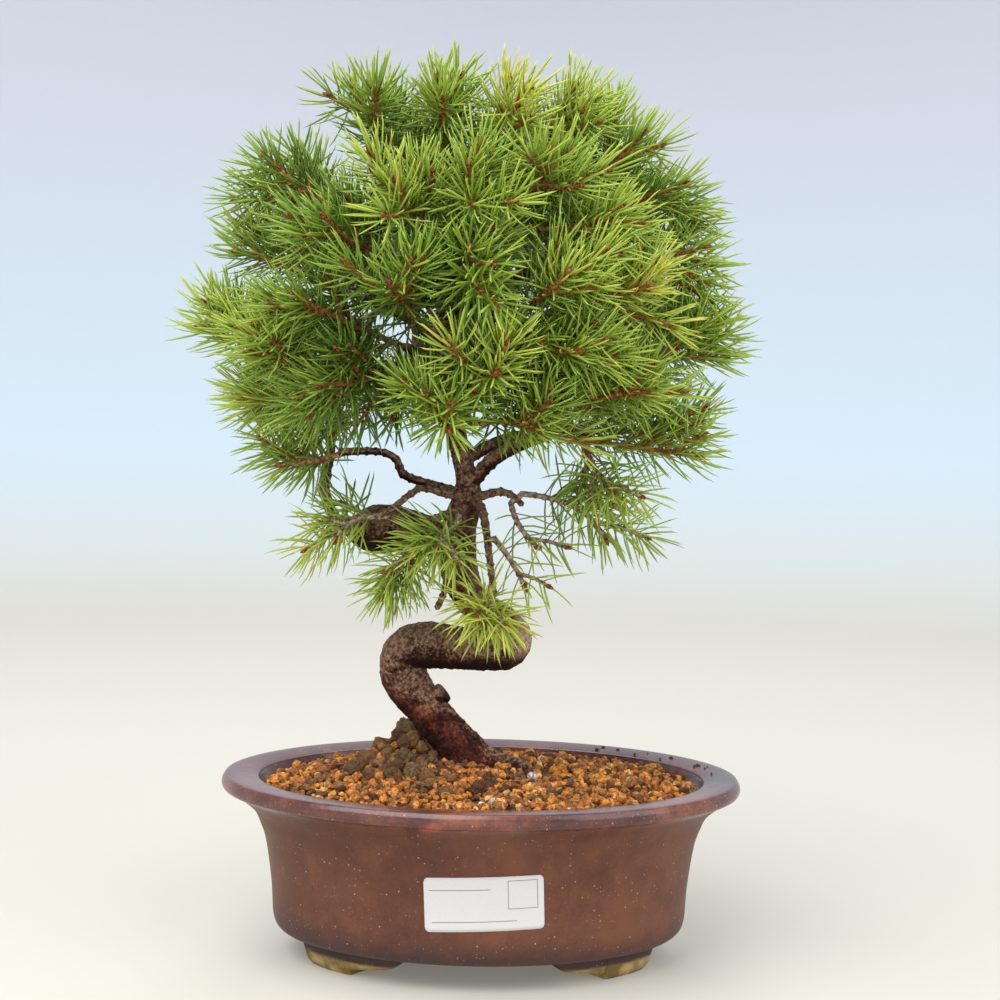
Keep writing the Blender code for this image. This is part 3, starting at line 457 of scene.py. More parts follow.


# The bed under the grains: dark as painted shade, so that the gaps between grains look deep
def makeBedFinish():
    material, desk, shader = newMaterial("soilBed")
    spot = desk.position()
    tone = desk.speckle(spot, 500.0)
    desk.feed(desk.ramp(tone, [(0.3, screen(48, 32, 22)), (0.7, screen(122, 76, 40))]), shader.inputs["Base Color"])
    setGloss(shader, 0.95, 0.1)
    addRelief(desk, shader, spot, 700.0, 0.0008, 0.9)
    return material


# Glazed stoneware: brown-maroon with fine pale specks, a glossier purplish rim with one bare patch, a grey
# band low down and ochre feet
def makeStonewareFinish():
    material, desk, shader = newMaterial("stoneware")
    spot = desk.position()
    low = desk.attribute("height")
    lip = desk.attribute("lip")
    cloud = desk.speckle(spot, 26.0, 3.0)
    mottle = desk.speckle(spot, 150.0, 5.0)
    fine = desk.speckle(spot, 1100.0, 3.0)
    mixed = desk.plus(desk.times(cloud, 0.45), desk.times(mottle, 0.35))
    mixed = desk.plus(mixed, desk.times(fine, 0.2))
    wall = desk.ramp(mixed, [(0.4, screen(94, 57, 46)), (0.5, screen(107, 65, 50)), (0.6, screen(122, 76, 56))])
    rim = desk.ramp(mixed, [(0.4, screen(74, 40, 40)), (0.5, screen(98, 54, 48)), (0.62, screen(138, 82, 60))])
    colour = desk.mix(lip, wall, rim)
    band = desk.grey(desk.plus(low, desk.times(mixed, 12.0)), 24.0, 15.0)
    colour = desk.mix(desk.times(band, 0.85), colour, screen(66, 50, 52))
    for scale, width, rarity, strength in ((520.0, 0.15, 0.72, 0.7), (1050.0, 0.2, 0.84, 0.5)):
        cell = desk.add("ShaderNodeTexVoronoi", {"Vector": spot, "Scale": scale}, feature="F1")
        speck = desk.grey(cell.outputs["Distance"], width, width * 0.6)
        lot = desk.add("ShaderNodeSeparateColor", {"Color": cell.outputs["Color"]}).outputs[0]
        share = desk.times(desk.times(speck, desk.grey(lot, rarity, rarity + 0.03)), strength)
        colour = desk.mix(share, colour, screen(206, 172, 158))
    patch = desk.times(desk.spotOn((-15.0, -60.0, 53.2), (5.0, 12.0, 2.6)), desk.grey(mottle, 0.4, 0.5))
    colour = desk.mix(desk.times(patch, 0.7), colour, screen(176, 92, 70))
    clay = desk.mix(desk.grey(mottle, 0.4, 0.6), screen(126, 104, 58), screen(196, 166, 112))
    bare = desk.grey(desk.plus(low, desk.times(mottle, 3.0)), 6.6, 5.6)
    colour = desk.mix(bare, colour, clay)
    desk.feed(colour, shader.inputs["Base Color"])
    rough = desk.plus(desk.times(mottle, 0.25), 0.36)
    rough = desk.minus(rough, desk.times(lip, 0.27))
    desk.feed(desk.plus(rough, desk.times(bare, 0.4), True), shader.inputs["Roughness"])
    desk.feed(desk.plus(desk.times(lip, 0.35), 0.25), shader.inputs["Specular IOR Level"])
    addRelief(desk, shader, spot, 420.0, 0.0002, 0.35)
    return material


# Sticker paper: near white, with two thin ruled lines and an empty square
def makeStickerFinish():
    material, desk, shader = newMaterial("stickerPaper")
    across = desk.attribute("across")
    up = desk.attribute("up")

    def within(value, middle, half):
        away = desk.sum("ABSOLUTE", desk.minus(value, middle))
        return desk.grey(away, half + 0.06, half - 0.06)

    marks = None
    for x, y, halfWidth, halfHeight in labelSettings["lines"]:
        mark = desk.times(within(across, x, halfWidth), within(up, y, halfHeight))
        marks = mark if marks is None else desk.sum("MAXIMUM", marks, mark)
    x, y, half, stroke = labelSettings["square"]
    outer = desk.times(within(across, x, half), within(up, y, half))
    inner = desk.times(within(across, x, half - stroke), within(up, y, half - stroke))
    marks = desk.sum("MAXIMUM", marks, desk.minus(outer, inner))
    fibre = desk.speckle(desk.position(), 1500.0)
    paper = desk.mix(fibre, screen(228, 222, 222), screen(238, 233, 232))
    desk.feed(desk.mix(desk.times(marks, 0.8), paper, screen(84, 82, 84)), shader.inputs["Base Color"])
    setGloss(shader, 0.38)
    return material


# Matte black plastic of the drain meshes
def makeMeshFinish():
    material, desk, shader = newMaterial("blackMesh")
    spot = desk.position()
    colour = desk.mix(desk.speckle(spot, 900.0), screen(20, 20, 22), screen(46, 45, 46))
    desk.feed(colour, shader.inputs["Base Color"])
    setGloss(shader, 0.55)
    addRelief(desk, shader, spot, 1200.0, 0.0001, 0.4)
    return material


labelSettings = {
    "width": 35.1,
    "height": 16.6,
    "corner": 1.4,
    "middle": (1.5, 28.2),
    "tilt": math.radians(2.5),
    "thickness": 0.16,
    "columns": 64,
    "rows": 14,
    "lines": [(-7.0, 4.4, 9.0, 0.12), (-3.0, -5.4, 12.5, 0.12)],
    "square": (11.4, 2.6, 4.4, 0.22),
}

finishes = {
    "needles": makeNeedleFinish(),
    "twigs": makeTwigFinish(),
    "bark": makeBarkFinish(),
    "grains": makeGrainFinish(),
    "bed": makeBedFinish(),
    "fallen": makeFallenFinish(),
    "stoneware": makeStonewareFinish(),
    "sticker": makeStickerFinish(),
    "blackMesh": makeMeshFinish(),
}
print("finishes made:", len(finishes))


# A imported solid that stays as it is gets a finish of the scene
def dressNode(name, finish):
    materials = frame["nodes"][name].data.materials
    materials.clear()
    materials.append(finishes[finish])


# Pot

potSettings = {
    "length": 165.0,
    "depth": 122.0,
    "height": 57.7,
    "sides": 288,
    "profileSteps": 5,
    "flatRings": 5,
    "footHeight": 7.5,
    "floorHeight": 12.5,
    "lip": 11.7,
    "bodyInset": 16.3,
    "holeRadius": 6.0,
    "holeReach": 30.0,
    "footInsets": (24.0, 34.0),
    "footRows": ((21, 5.0), (26, 0.0), (46, 0.0), (49, 1.9), (62, 3.8), (66, 6.0)),
}


# Insets from the rim's outer edge and heights: up the outside, over the rim and down the inside
def potProfiles(s):
    inset, high, lip = s["bodyInset"], s["height"], s["lip"]
    foot = s["footHeight"]
    outer = [(inset + 6.2, foot), (inset + 2.3, foot + 1.7), (inset + 0.5, foot + 5.5), (inset - 0.2, 23.0),
             (inset - 2.1, 36.0), (inset - 4.0, 42.0), (9.6, 47.2), (3.0, high - 5.2), (0.6, high - 4.2),
             (0.0, high - 2.5), (0.7, high - 0.7), (2.3, high)]
    inner = [(lip - 1.2, high - 0.8), (lip, high - 1.7), (lip + 1.2, high - 4.0), (17.4, 47.0), (22.5, 32.0),
             (26.0, 15.0), (29.5, s["floorHeight"])]
    return outer, inner


# Ring points: ((L/2 - inset) cos a, (D/2 - inset) sin a, height)
def ovalRings(insets, heights, count, s):
    angles = 2 * math.pi * np.arange(count) / count
    x = (s["length"] / 2 - insets)[:, None] * np.cos(angles)
    y = (s["depth"] / 2 - insets)[:, None] * np.sin(angles)
    return np.stack([x, y, np.broadcast_to(heights[:, None], x.shape)], axis=-1)


# The point on the pot's front at a sideways distance and a height, moved out by an offset
def frontPoints(x, z, offset, s):
    outer = np.array(potProfiles(s)[0])
    inset = np.interp(z, outer[:, 1], outer[:, 0])
    longAxis, shortAxis = s["length"] / 2 - inset, s["depth"] / 2 - inset
    y = -shortAxis * np.sqrt(1 - (x / longAxis) ** 2)
    outward = unit(np.stack([x / longAxis**2, y / shortAxis**2, np.zeros_like(x)], axis=-1))
    return np.stack([x, y, z], axis=-1) + offset[..., None] * outward


# One foot: the rounded cross-section at each angle runs from its underside up into the pot
def footMesh(xSide, ySide, s):
    rows = smoothPath([(angle, under, 0.0) for angle, under in s["footRows"]], 6)
    angles, unders = np.radians(rows[:, 0]), np.maximum(rows[:, 1], 0.0)
    near, far = s["footInsets"]
    top = s["footHeight"] + 1.2
    outline = []
    for inset, share in ((near - 1.2, 1.0), (near - 0.2, 0.45), (near + 0.5, 0.14), (near + 1.6, 0.0),
                         (far - 1.6, 0.0), (far - 0.5, 0.14), (far + 0.2, 0.45), (far + 0.6, 1.0)):
        heights = unders + (top - unders) * share
        outline.append(np.stack([(s["length"] / 2 - inset) * np.cos(angles) * xSide,
                                 (s["depth"] / 2 - inset) * np.sin(angles) * ySide, heights], axis=-1))
    rings = np.stack(outline, axis=1)
    if xSide * ySide > 0:
        rings = rings[:, ::-1]
    middles = rings.mean(axis=1)
    points = np.concatenate([rings.reshape(-1, 3), middles[:1], middles[-1:]])
    return points, tubeFaces(1, len(rings), rings.shape[1])


# The pot is one skin: rings from the middle of the underside round the profile to the middle of the floor
def addPot(s):
    outer, inner = potProfiles(s)
    curve = smoothPath([(*row, 0.0) for row in outer + inner], s["profileSteps"])
    count = s["flatRings"]
    under = np.linspace(s["depth"] / 2 - 1.0, outer[0][0] + 1.2, count)
    floor = np.linspace(inner[-1][0] + 1.5, s["depth"] / 2 - 1.0, count)
    insets = np.concatenate([under, curve[:, 0], floor])
    heights = np.concatenate([np.full(count, s["footHeight"]), curve[:, 1],
                              np.full(count, s["floorHeight"])])
    rings = ovalRings(insets, heights, s["sides"], s)
    poles = np.array([[0, 0, s["footHeight"]], [0, 0, s["floorHeight"]]])
    body = (np.concatenate([rings.reshape(-1, 3), poles]), tubeFaces(1, len(rings), s["sides"]))
    pierced = cutDrainHoles(body, s)
    feet = [footMesh(xSide, ySide, s) for xSide in (-1, 1) for ySide in (-1, 1)]
    points, faces = joined([pierced] + feet)
    inset = s["length"] / 2 * (1 - np.hypot(points[:, 0] / (s["length"] / 2), points[:, 1] / (s["depth"] / 2)))
    lip = np.clip((points[:, 2] - 50.5) / 2.5, 0, 1) * np.clip((24 - inset) / 6, 0, 1)
    item = addPiece("stonewarePot", points, faces, finishes["stoneware"],
                    {"height": points[:, 2], "lip": lip})
    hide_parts("pot")
    return item


# Two round holes through the floor, cut with a Boolean on a working copy
def cutDrainHoles(body, s):
    bodyItem = workingObject("potBody", *body)
    for side in (-1, 1):
        middle = np.array([side * s["holeReach"], 0.0, s["floorHeight"] - 2.5])
        steps = np.array([-6.0, -6.0, 6.0, 6.0])
        path = (middle + steps[:, None] * np.array([0, 0, 1.0]))[None]
        path[0, 1:3, 2] += (0.001, -0.001)
        cutter = workingObject("drainCutter", *tubes(path, np.full((1, 4), s["holeRadius"]), 48))
        modifier = bodyItem.modifiers.new("hole", "BOOLEAN")
        modifier.object, modifier.operation, modifier.solver = cutter, "DIFFERENCE", "EXACT"
    bpy.context.view_layer.update()
    done = bodyItem.evaluated_get(bpy.context.evaluated_depsgraph_get()).to_mesh()
    points = np.zeros(len(done.vertices) * 3)
    done.vertices.foreach_get("co", points)
    done.calc_loop_triangles()
    triangles = np.zeros(len(done.loop_triangles) * 3, dtype=np.int32)
    done.loop_triangles.foreach_get("vertices", triangles)
    for item in [o for o in bpy.data.objects if o.name.startswith(("potBody", "drainCutter"))]:
        bpy.data.objects.remove(item)
    return points.reshape(-1, 3) / mm, [triangles.reshape(-1, 3)]


# A mesh object for the Boolean, removed again when it is done
def workingObject(name, points, faces):
    mesh = bpy.data.meshes.new(name)
    mesh.from_pydata((points.reshape(-1, 3) * mm).tolist(), [], [row for face in faces for row in face.tolist()])
    item = bpy.data.objects.new(name, mesh)
    bpy.context.scene.collection.objects.link(item)
    return item


# The sticker: a thin closed sheet that follows the pot's front, with rounded corners
def addSticker(s, pot):
    columns, rows = s["columns"], s["rows"]
    share = np.linspace(-1, 1, columns)
    half = s["width"] / 2
    across = half * np.sin(share * math.pi / 2) * 0.5 + half * share * 0.5
    into = np.maximum(np.abs(across) - (half - s["corner"]), 0)
    reach = s["height"] / 2 - s["corner"] + np.sqrt(np.maximum(s["corner"] ** 2 - into**2, 0.0))
    order = np.concatenate([np.linspace(-1, 1, rows), np.linspace(1, -1, rows)])
    offset = np.concatenate([np.full(rows, 0.03), np.full(rows, s["thickness"])])
    up = order[None] * reach[:, None]
    x = across[:, None] * math.cos(s["tilt"]) - up * math.sin(s["tilt"]) + s["middle"][0]
    z = across[:, None] * math.sin(s["tilt"]) + up * math.cos(s["tilt"]) + s["middle"][1]
    rings = frontPoints(x, z, np.broadcast_to(offset, x.shape), pot)
    middles = rings.mean(axis=1)
    points = np.concatenate([rings.reshape(-1, 3), middles[:1], middles[-1:]])
    acrossAll = np.concatenate([np.broadcast_to(across[:, None], up.shape).ravel(), [-half, half]])
    item = addPiece("sticker", points, tubeFaces(1, columns, 2 * rows), finishes["sticker"],
                    {"across": acrossAll, "up": np.concatenate([up.ravel(), [0, 0]])})
    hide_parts("label")


addPot(potSettings)
addSticker(labelSettings, potSettings)
dressNode("drain_mesh_left", "blackMesh")
dressNode("drain_mesh_right", "blackMesh")
print("pot and sticker made")


# Wood

woodSettings = {
    "trunk": (
        (1.0, 0.0, 41.5, 5.0), (0.5, 0.0, 50.0, 6.4), (-1.5, 0.0, 58.0, 7.4), (-6.0, 1.0, 64.5, 7.0),
        (-12.5, 2.0, 71.3, 6.4), (-19.0, 3.0, 78.5, 6.4), (-24.0, 3.5, 84.5, 7.2), (-26.2, 3.0, 91.5, 7.4),
        (-23.6, 2.0, 97.0, 7.3), (-16.0, -0.5, 98.2, 7.2), (-6.5, -4.0, 97.9, 6.6), (2.5, -8.0, 98.4, 6.8),
        (8.2, -8.0, 100.2, 7.1), (6.0, -4.5, 105.0, 6.2), (1.0, -2.0, 108.8, 5.5), (-3.8, -0.5, 112.8, 5.2),
        (-7.1, 1.0, 118.2, 5.7), (-9.0, 2.0, 124.7, 6.1), (-9.2, 2.0, 131.0, 6.0), (-8.2, 1.0, 138.0, 5.5),
        (-6.4, 0.0, 144.8, 4.7), (-6.4, 0.0, 151.0, 3.5), (-9.2, 0.0, 162.0, 3.2), (-12.8, 0.0, 178.0, 3.0),
        (-15.0, 0.0, 198.0, 2.7), (-14.0, 0.0, 224.0, 2.3), (-12.0, -1.0, 243.0, 1.8),
        (-11.0, -1.0, 256.0, 1.4),
    ),
    "stub": ((-19.0, 3.0, 77.5, 4.4), (-14.8, 2.3, 81.2, 3.7), (-12.2, 1.8, 83.4, 3.0)),
    "root": ((-3.0, 0.0, 61.5, 6.2), (5.0, -1.5, 59.0, 5.3), (13.0, -3.0, 57.6, 4.3), (20.0, -4.5, 52.6, 2.8)),
    "boughs": (
        ((-9, 2, 129, 5.2), (-19, 2, 133, 6.4), (-29, 3, 135, 7.4), (-36, 5, 134.8, 7.8), (-41, 8, 134.2, 5.2),
         (-45, 11, 134.8, 2.4), (-49, 12.5, 137, 1.9), (-53.4, 14, 147, 1.7), (-51.5, 14, 160, 1.6),
         (-52, 12, 172, 1.5), (-58, 8, 190, 1.3)),
        ((-7, 0, 145.5, 2.4), (-14.4, -0.5, 148.4, 1.8), (-22.7, -2, 150.9, 1.4), (-27, -4, 153, 1.3),
         (-28.5, -5, 157, 1.2), (-33, -7, 159.5, 1.1), (-42, -9.5, 159.6, 1.1), (-60, -12.5, 158, 1.0)),
        ((-13, 0, 176, 2.0), (-26, -7, 181, 1.7), (-46, -12, 184, 1.5), (-60, -13, 188, 1.3)),
        ((-15, 0, 194, 1.9), (-28, -5, 203, 1.6), (-44, -9, 209, 1.4), (-60, -8, 214, 1.2)),
        ((-14, 0, 214, 1.7), (-27, -4, 226, 1.5), (-43, -7, 237, 1.3), (-54, -6, 245, 1.1)),
        ((-14, 0, 184, 1.8), (-20, -16, 189, 1.6), (-28, -38, 192, 1.3)),
        ((-10, 0, 166, 2.0), (-8, -18, 169, 1.7), (-5, -40, 172, 1.3)),
        ((-14, 0, 204, 1.8), (-14, -18, 212, 1.6), (-18, -38, 216, 1.3)),
        ((-14, 0, 220, 1.7), (-6, -18, 228, 1.5), (2, -36, 232, 1.2)),
        ((-7, 0, 147, 2.9), (-3.9, -1, 151.6, 2.5), (2.2, -4, 158.4, 2.3), (12, -6.5, 163.5, 2.0),
         (26, -9, 168, 1.8), (42, -12, 163, 1.5), (52, -14, 159, 1.3)),
        ((-8, 0, 157, 2.2), (2, 7, 163, 2.0), (18, 14, 167, 1.7), (38, 20, 166, 1.3)),
        ((-13, 0, 182, 2.0), (6, -5, 191, 1.8), (30, -9, 196, 1.5), (50, -9, 196, 1.3)),
        ((-15, 0, 202, 1.9), (4, -4, 214, 1.7), (24, -7, 224, 1.5), (42, -8, 230, 1.2)),
        ((-15, 0, 192, 1.8), (-2, -16, 196, 1.6), (14, -36, 198, 1.3)),
        ((-13, -1, 234, 1.5), (-22, -5, 245, 1.3), (-30, -7, 256, 1.1)),
        ((-13, -1, 230, 1.6), (0, 3, 242, 1.4), (14, 4, 253, 1.1)),
        ((-12, 0, 174, 1.9), (-26, 17, 180, 1.6), (-38, 38, 183, 1.3)),
        ((-15, 0, 196, 1.9), (-30, 16, 206, 1.6), (-42, 32, 212, 1.2)),
        ((-14, 0, 186, 1.9), (4, 18, 192, 1.6), (24, 38, 194, 1.3)),
        ((-14, 0, 212, 1.8), (-10, 18, 222, 1.5), (-6, 36, 230, 1.2)),
        ((-9, 0, 162, 2.0), (-8, 18, 166, 1.7), (-4, 40, 164, 1.3)),
        ((-15, 0, 206, 1.8), (6, 14, 217, 1.5), (24, 28, 224, 1.2)),
        ((-4.5, -2, 145.5, 1.8), (-1.5, -7, 142.4, 1.3), (0.2, -9, 134.2, 1.1), (2, -12, 121.2, 1.0),
         (3, -15, 115, 1.0)),
        ((-5, -1, 145.5, 1.8), (-0.5, -3.5, 146.6, 1.3), (4.2, -4, 147.8, 1.2), (9, -5, 146, 1.0),
         (13, -6, 141.5, 1.0)),
        ((-7, -3, 142, 1.8), (-10, -8.5, 141.1, 1.3), (-16.7, -13, 139, 1.1), (-25.2, -18, 134, 1.0)),
        ((-8, -2, 146, 1.8), (-14, -6.5, 147, 1.2), (-21.3, -9, 148.5, 1.1), (-28.8, -13, 142.4, 1.0),
         (-37.8, -16, 137.7, 1.0)),
        ((-9.5, -2, 132.5, 1.8), (-12, -8.5, 130.3, 1.1), (-12.4, -10.5, 117.4, 1.0), (-15.3, -10.5, 110.5, 0.9)),
    ),
    "steps": 2,
    "trunkBare": 30,
    "boughBare": 2,
    "boughEnd": 3.0,
    "wholeBoughs": (1, 27),
    # sides, depth of relief, seed and ring spacing of each stretch of bark
    "bareBark": (112, 0.85, 11, 0.45),
    "bearingBark": (32, 0.5, 14, 0.7),
    "stubBark": (40, 0.6, 12, 0.45),
    "rootBark": (72, 0.8, 13, 0.45),
    # where the trunk gets thin, and the boughs that hang with grey-tan bark
    "trunkChange": 42,
    "paleBoughs": (23, 24, 25, 26, 27),
}

# Shoots: x, y, z of each tip and the rise of its end, first those that the front shows
shootSettings = {
    "crown": (
        (-43, -22, 269, 0.8), (-71, -8, 251, 0.55), (-79, -8, 221, 0.4), (-90, -8, 197, 0.3),
        (-76, -10, 175, 0.0), (-17, -27, 271, 0.95), (4, -31, 270, 0.9),
        (24, -22, 271, 0.85), (45, -20, 258, 0.7), (60, -8, 245, 0.5), (66, -10, 225, 0.25),
        (73, -8, 191, 0.0), (65, -12, 160, -0.3),
        (-27, -60, 235, 0.6), (-47, -55, 225, 0.5), (-7, -60, 240, 0.65), (16, -54, 245, 0.7),
        (36, -52, 230, 0.3), (-55, -54, 203, 0.3), (-28, -66, 206, 0.15), (-6, -67, 216, 0.3),
        (21, -63, 210, 0.4), (45, -50, 208, 0.1), (-70, -38, 188, 0.15), (-48, -50, 178, -0.1),
        (2, -64, 182, 0.0), (25, -60, 189, 0.0), (47, -42, 178, -0.15), (-11, -57, 166, -0.5),
        (14, -50, 167, -0.25),
    ),
    # low shoots, each with the length wanted and the needles on each millimetre as well
    "low": (
        (6, -26, 109, -0.35, 16, 3.0), (12, -12, 119, -0.9, 17, 0.9), (16, -7, 131, -0.85, 17, 1.3),
        (-46, -17, 132.5, -0.25, 18, 2.6), (-30, -21, 123.5, -0.8, 17, 2.8), (-14.5, -26, 131, -0.4, 16, 2.8),
        (-64, -10, 155, -0.4, 20, 2.6), (37, -11, 134, -0.9, 30, 2.2), (41, -17, 147, -0.6, 24, 2.4),
    ),
    "perMm": 2.4,
    "middle": (-9.0, 0.0, 206.0),
    "reach": (78.0, 70.0, 70.0),
    "backSpread": 40,
    "backLowest": -0.62,
    "backStart": 0.12,
    "backRise": (0.8, 0.15),
    "crownStem": 43.0,
    "lowZone": 150.0,
    "bearing": 37.0,
    "mostBearing": 0.78,
    "band": 1.3,
    "stemRadius": 1.05,
    "tipRadius": 0.85,
    "gap": 0.45,
    "sideLength": 23.0,
    "sideShare": 0.66,
    "sideAfter": 2,
    "sideLean": math.radians(48),
    "clearance": 1.0,
    "points": 11,
    "endShare": 0.45,
    "endWeight": 30.0,
    "woodWeight": 16.0,
    "basesTried": 60,
    "bends": (0.0, 5.0, -5.0, 9.0, -9.0, 14.0, -14.0),
    "directions": 10,
    "shortShoot": 34.0,
    # further side shoots: where along the needles they leave, and how long they are
    "extraSides": ((0.08, 20.0), (0.62, 16.0), (0.3, 19.0), (0.45, 17.0), (0.78, 12.0), (-0.3, 20.0)),
    # the same for low shoots that bear densely
    "lowSides": ((0.1, 12.0), (0.5, 10.0), (0.3, 12.0)),
    "dense": 1.9,
}


# Nearest distance from one straight piece to each of many, with the share along each of those
def segmentDistances(start, end, starts, ends):
    d1 = end - start
    d2 = ends - starts
    r = start - starts
    a = max(d1 @ d1, 1e-12)
    e = np.maximum(np.einsum("ij,ij->i", d2, d2), 1e-12)
    f = np.einsum("ij,ij->i", d2, r)
    c = r @ d1
    b = d2 @ d1
    spread = a * e - b * b
    s = np.where(spread > 1e-9, np.clip((b * f - c * e) / np.maximum(spread, 1e-9), 0, 1), 0.0)
    t = np.clip((b * s + f) / e, 0, 1)
    s = np.clip((b * t - c) / a, 0, 1)
    return np.linalg.norm(start + s[:, None] * d1 - starts - t[:, None] * d2, axis=1), t


# Straight pieces that are taken, each with a radius at both ends and the number of its spray
class TakenSpace:
    def __init__(self):
        self.rows = np.zeros((0, 9))

    def addPath(self, path, radius, owner):
        radius = np.broadcast_to(radius, len(path))
        owners = np.full(len(path) - 1, float(owner))
        fresh = np.column_stack([path[:-1], path[1:], radius[:-1], radius[1:], owners])
        self.rows = np.vstack([self.rows, fresh])

    def room(self, start, end, radius, leftOut):
        rows = self.rows[self.rows[:, 8] != leftOut]
        if not len(rows):
            return 1e9
        distance, t = segmentDistances(start, end, rows[:, 0:3], rows[:, 3:6])
        return float(np.min(distance - radius - rows[:, 6] - (rows[:, 7] - rows[:, 6]) * t))

    def pathRoom(self, path, radius, leftOut):
        return min(self.room(a, b, radius, leftOut) for a, b in zip(path, path[1:]))


# The trunk and the boughs as curves through their guides
def woodPaths(s):
    return smoothPath(s["trunk"], s["steps"]), [smoothPath(guide, s["steps"]) for guide in s["boughs"]]


# Tips at the back, spread over the crown's oval by the golden angle
def backTips(s):
    tips = []
    for i in range(s["backSpread"]):
        rise = 1 - (2 * i + 1) / s["backSpread"]
        flat = math.sqrt(1 - rise**2)
        direction = np.array([flat * math.cos(i * goldenAngle), flat * math.sin(i * goldenAngle), rise])
        if direction[1] < s["backStart"] or rise < s["backLowest"]:
            continue
        tip = np.array(s["middle"]) + direction * s["reach"]
        tips.append((*tip, s["backRise"][0] * rise + s["backRise"][1]))
    return tips


# A shoot ends outward from the crown's middle line, with the given rise
def endDirection(tip, rise, s):
    away = np.array([tip[0] - s["middle"][0], tip[1] - s["middle"][1], 0.0])
    return unit(unit(away) * math.sqrt(1 - min(rise**2, 0.98)) + np.array([0, 0, rise]))


# Points of the wood that a shoot can leave from: place, direction, radius, branch and length along it
def woodPoints(wood):
    trunk, boughs = woodPaths(wood)
    points = []
    for branch, path in enumerate([trunk] + boughs):
        fine = smoothPath(path, 4)
        along = lengthsAlong(fine)
        first = wood["trunkBare"] if branch == 0 else wood["boughBare"]
        for i in range(first * 4, len(fine) - 1):
            points.append((fine[i, :3], unit(fine[i + 1, :3] - fine[i - 1, :3]), fine[i, 3], branch, along[i]))
    return points


# A shoot starts just off the wood: middle of the wood + outward * (radius + gap + its own slant)
def shootBase(point, aim, s):
    place, ahead, radius = point[:3]
    out = unit(aim - (aim @ ahead) * ahead)
    return place + out * (radius + s["gap"] + s["stemRadius"] * abs(aim @ ahead))


# A quadratic curve from the base to the tip, its middle back from the tip and pushed aside by a bend
def shootPath(base, tip, direction, bend, aside, s):
    reach = np.linalg.norm(tip - base)
    middle = tip - direction * s["endShare"] * reach + aside * bend
    t = np.linspace(0, 1, s["points"])[:, None]
    return (1 - t) ** 2 * base + 2 * t * (1 - t) * middle + t**2 * tip


# How far a base is from the wanted length, end direction and growth along the wood
def baseCost(point, tip, direction, wanted, s):
    away = tip - point[0]
    reach = np.linalg.norm(away)
    aim = away / max(reach, 1e-6)
    return abs(reach - wanted) + s["endWeight"] * (1 - aim @ direction) + s["woodWeight"] * (1 - aim @ point[1])


# The first of the candidate bases and bends whose curve clears everything placed so far
def growMain(tip, direction, wanted, points, taken, owner, s):
    costs = [baseCost(point, tip, direction, wanted, s) for point in points]
    best = None
    for index in np.argsort(costs)[:s["basesTried"]:2]:
        aim = unit(tip - direction * 8 - points[index][0])
        base = shootBase(points[index], aim, s)
        across = unit(np.cross(direction, aim + np.array([0.01, 0.02, 0.03])))
        for aside in (across, unit(np.cross(across, aim))):
            for bend in s["bends"]:
                path = shootPath(base, tip, direction, bend, aside, s)
                room = min(taken.pathRoom(path[1:], s["stemRadius"], owner),
                           taken.room(path[0], path[1], s["stemRadius"], -1))
                if best is None or room > best[0]:
                    best = (room, path, points[index])
                if room > s["clearance"]:
                    return path, points[index]
    return best[1:]


# Where a main shoot's needles start, and where along it the first side shoot leaves
def bearingLayout(main, s):
    length = lengthsAlong(main)[-1]
    bearing = min(s["bearing"], s["mostBearing"] * length)
    clusters = 4 if length > s["shortShoot"] else 3
    pitch = (bearing - 2 * s["band"]) / (clusters - 1)
    first = length - bearing
    return first, first + (s["sideAfter"] - 0.5) * pitch + s["band"]


# How far a place is outside the crown's oval, and 0 inside it
def outsideCrown(place, s):
    share = np.linalg.norm((place - s["middle"]) / np.array(s["reach"]))
    return max(0.0, share - 1.0) * min(s["reach"])


# A side shoot leaves the main one at a slant, toward the side with the most room
def growSide(main, distance, turn, length, taken, owner, s):
    start = readPath(main, distance)
    ahead = tangentAlong(main, distance)
    first = unit(np.cross(ahead, [0.1, 0.2, 1.0]))
    second = np.cross(ahead, first)
    best = None
    for i in range(s["directions"]):
        angle = turn + 2 * math.pi * i / s["directions"]
        out = first * math.cos(angle) + second * math.sin(angle)
        aim = ahead * math.cos(s["sideLean"]) + out * math.sin(s["sideLean"])
        middle = start + aim * length * 0.5
        tip = middle + unit(aim + ahead * 0.35) * length * 0.5
        room = min(taken.room(start + aim * 3, middle, s["tipRadius"], owner),
                   taken.room(middle, tip, s["tipRadius"], owner))
        room -= 2 * outsideCrown(tip, s) if start[2] > s["lowZone"] else 0
        if best is None or room > best[0]:
            best = (room, np.array([start, start + aim * 3, middle, tip]))
    return best[1]


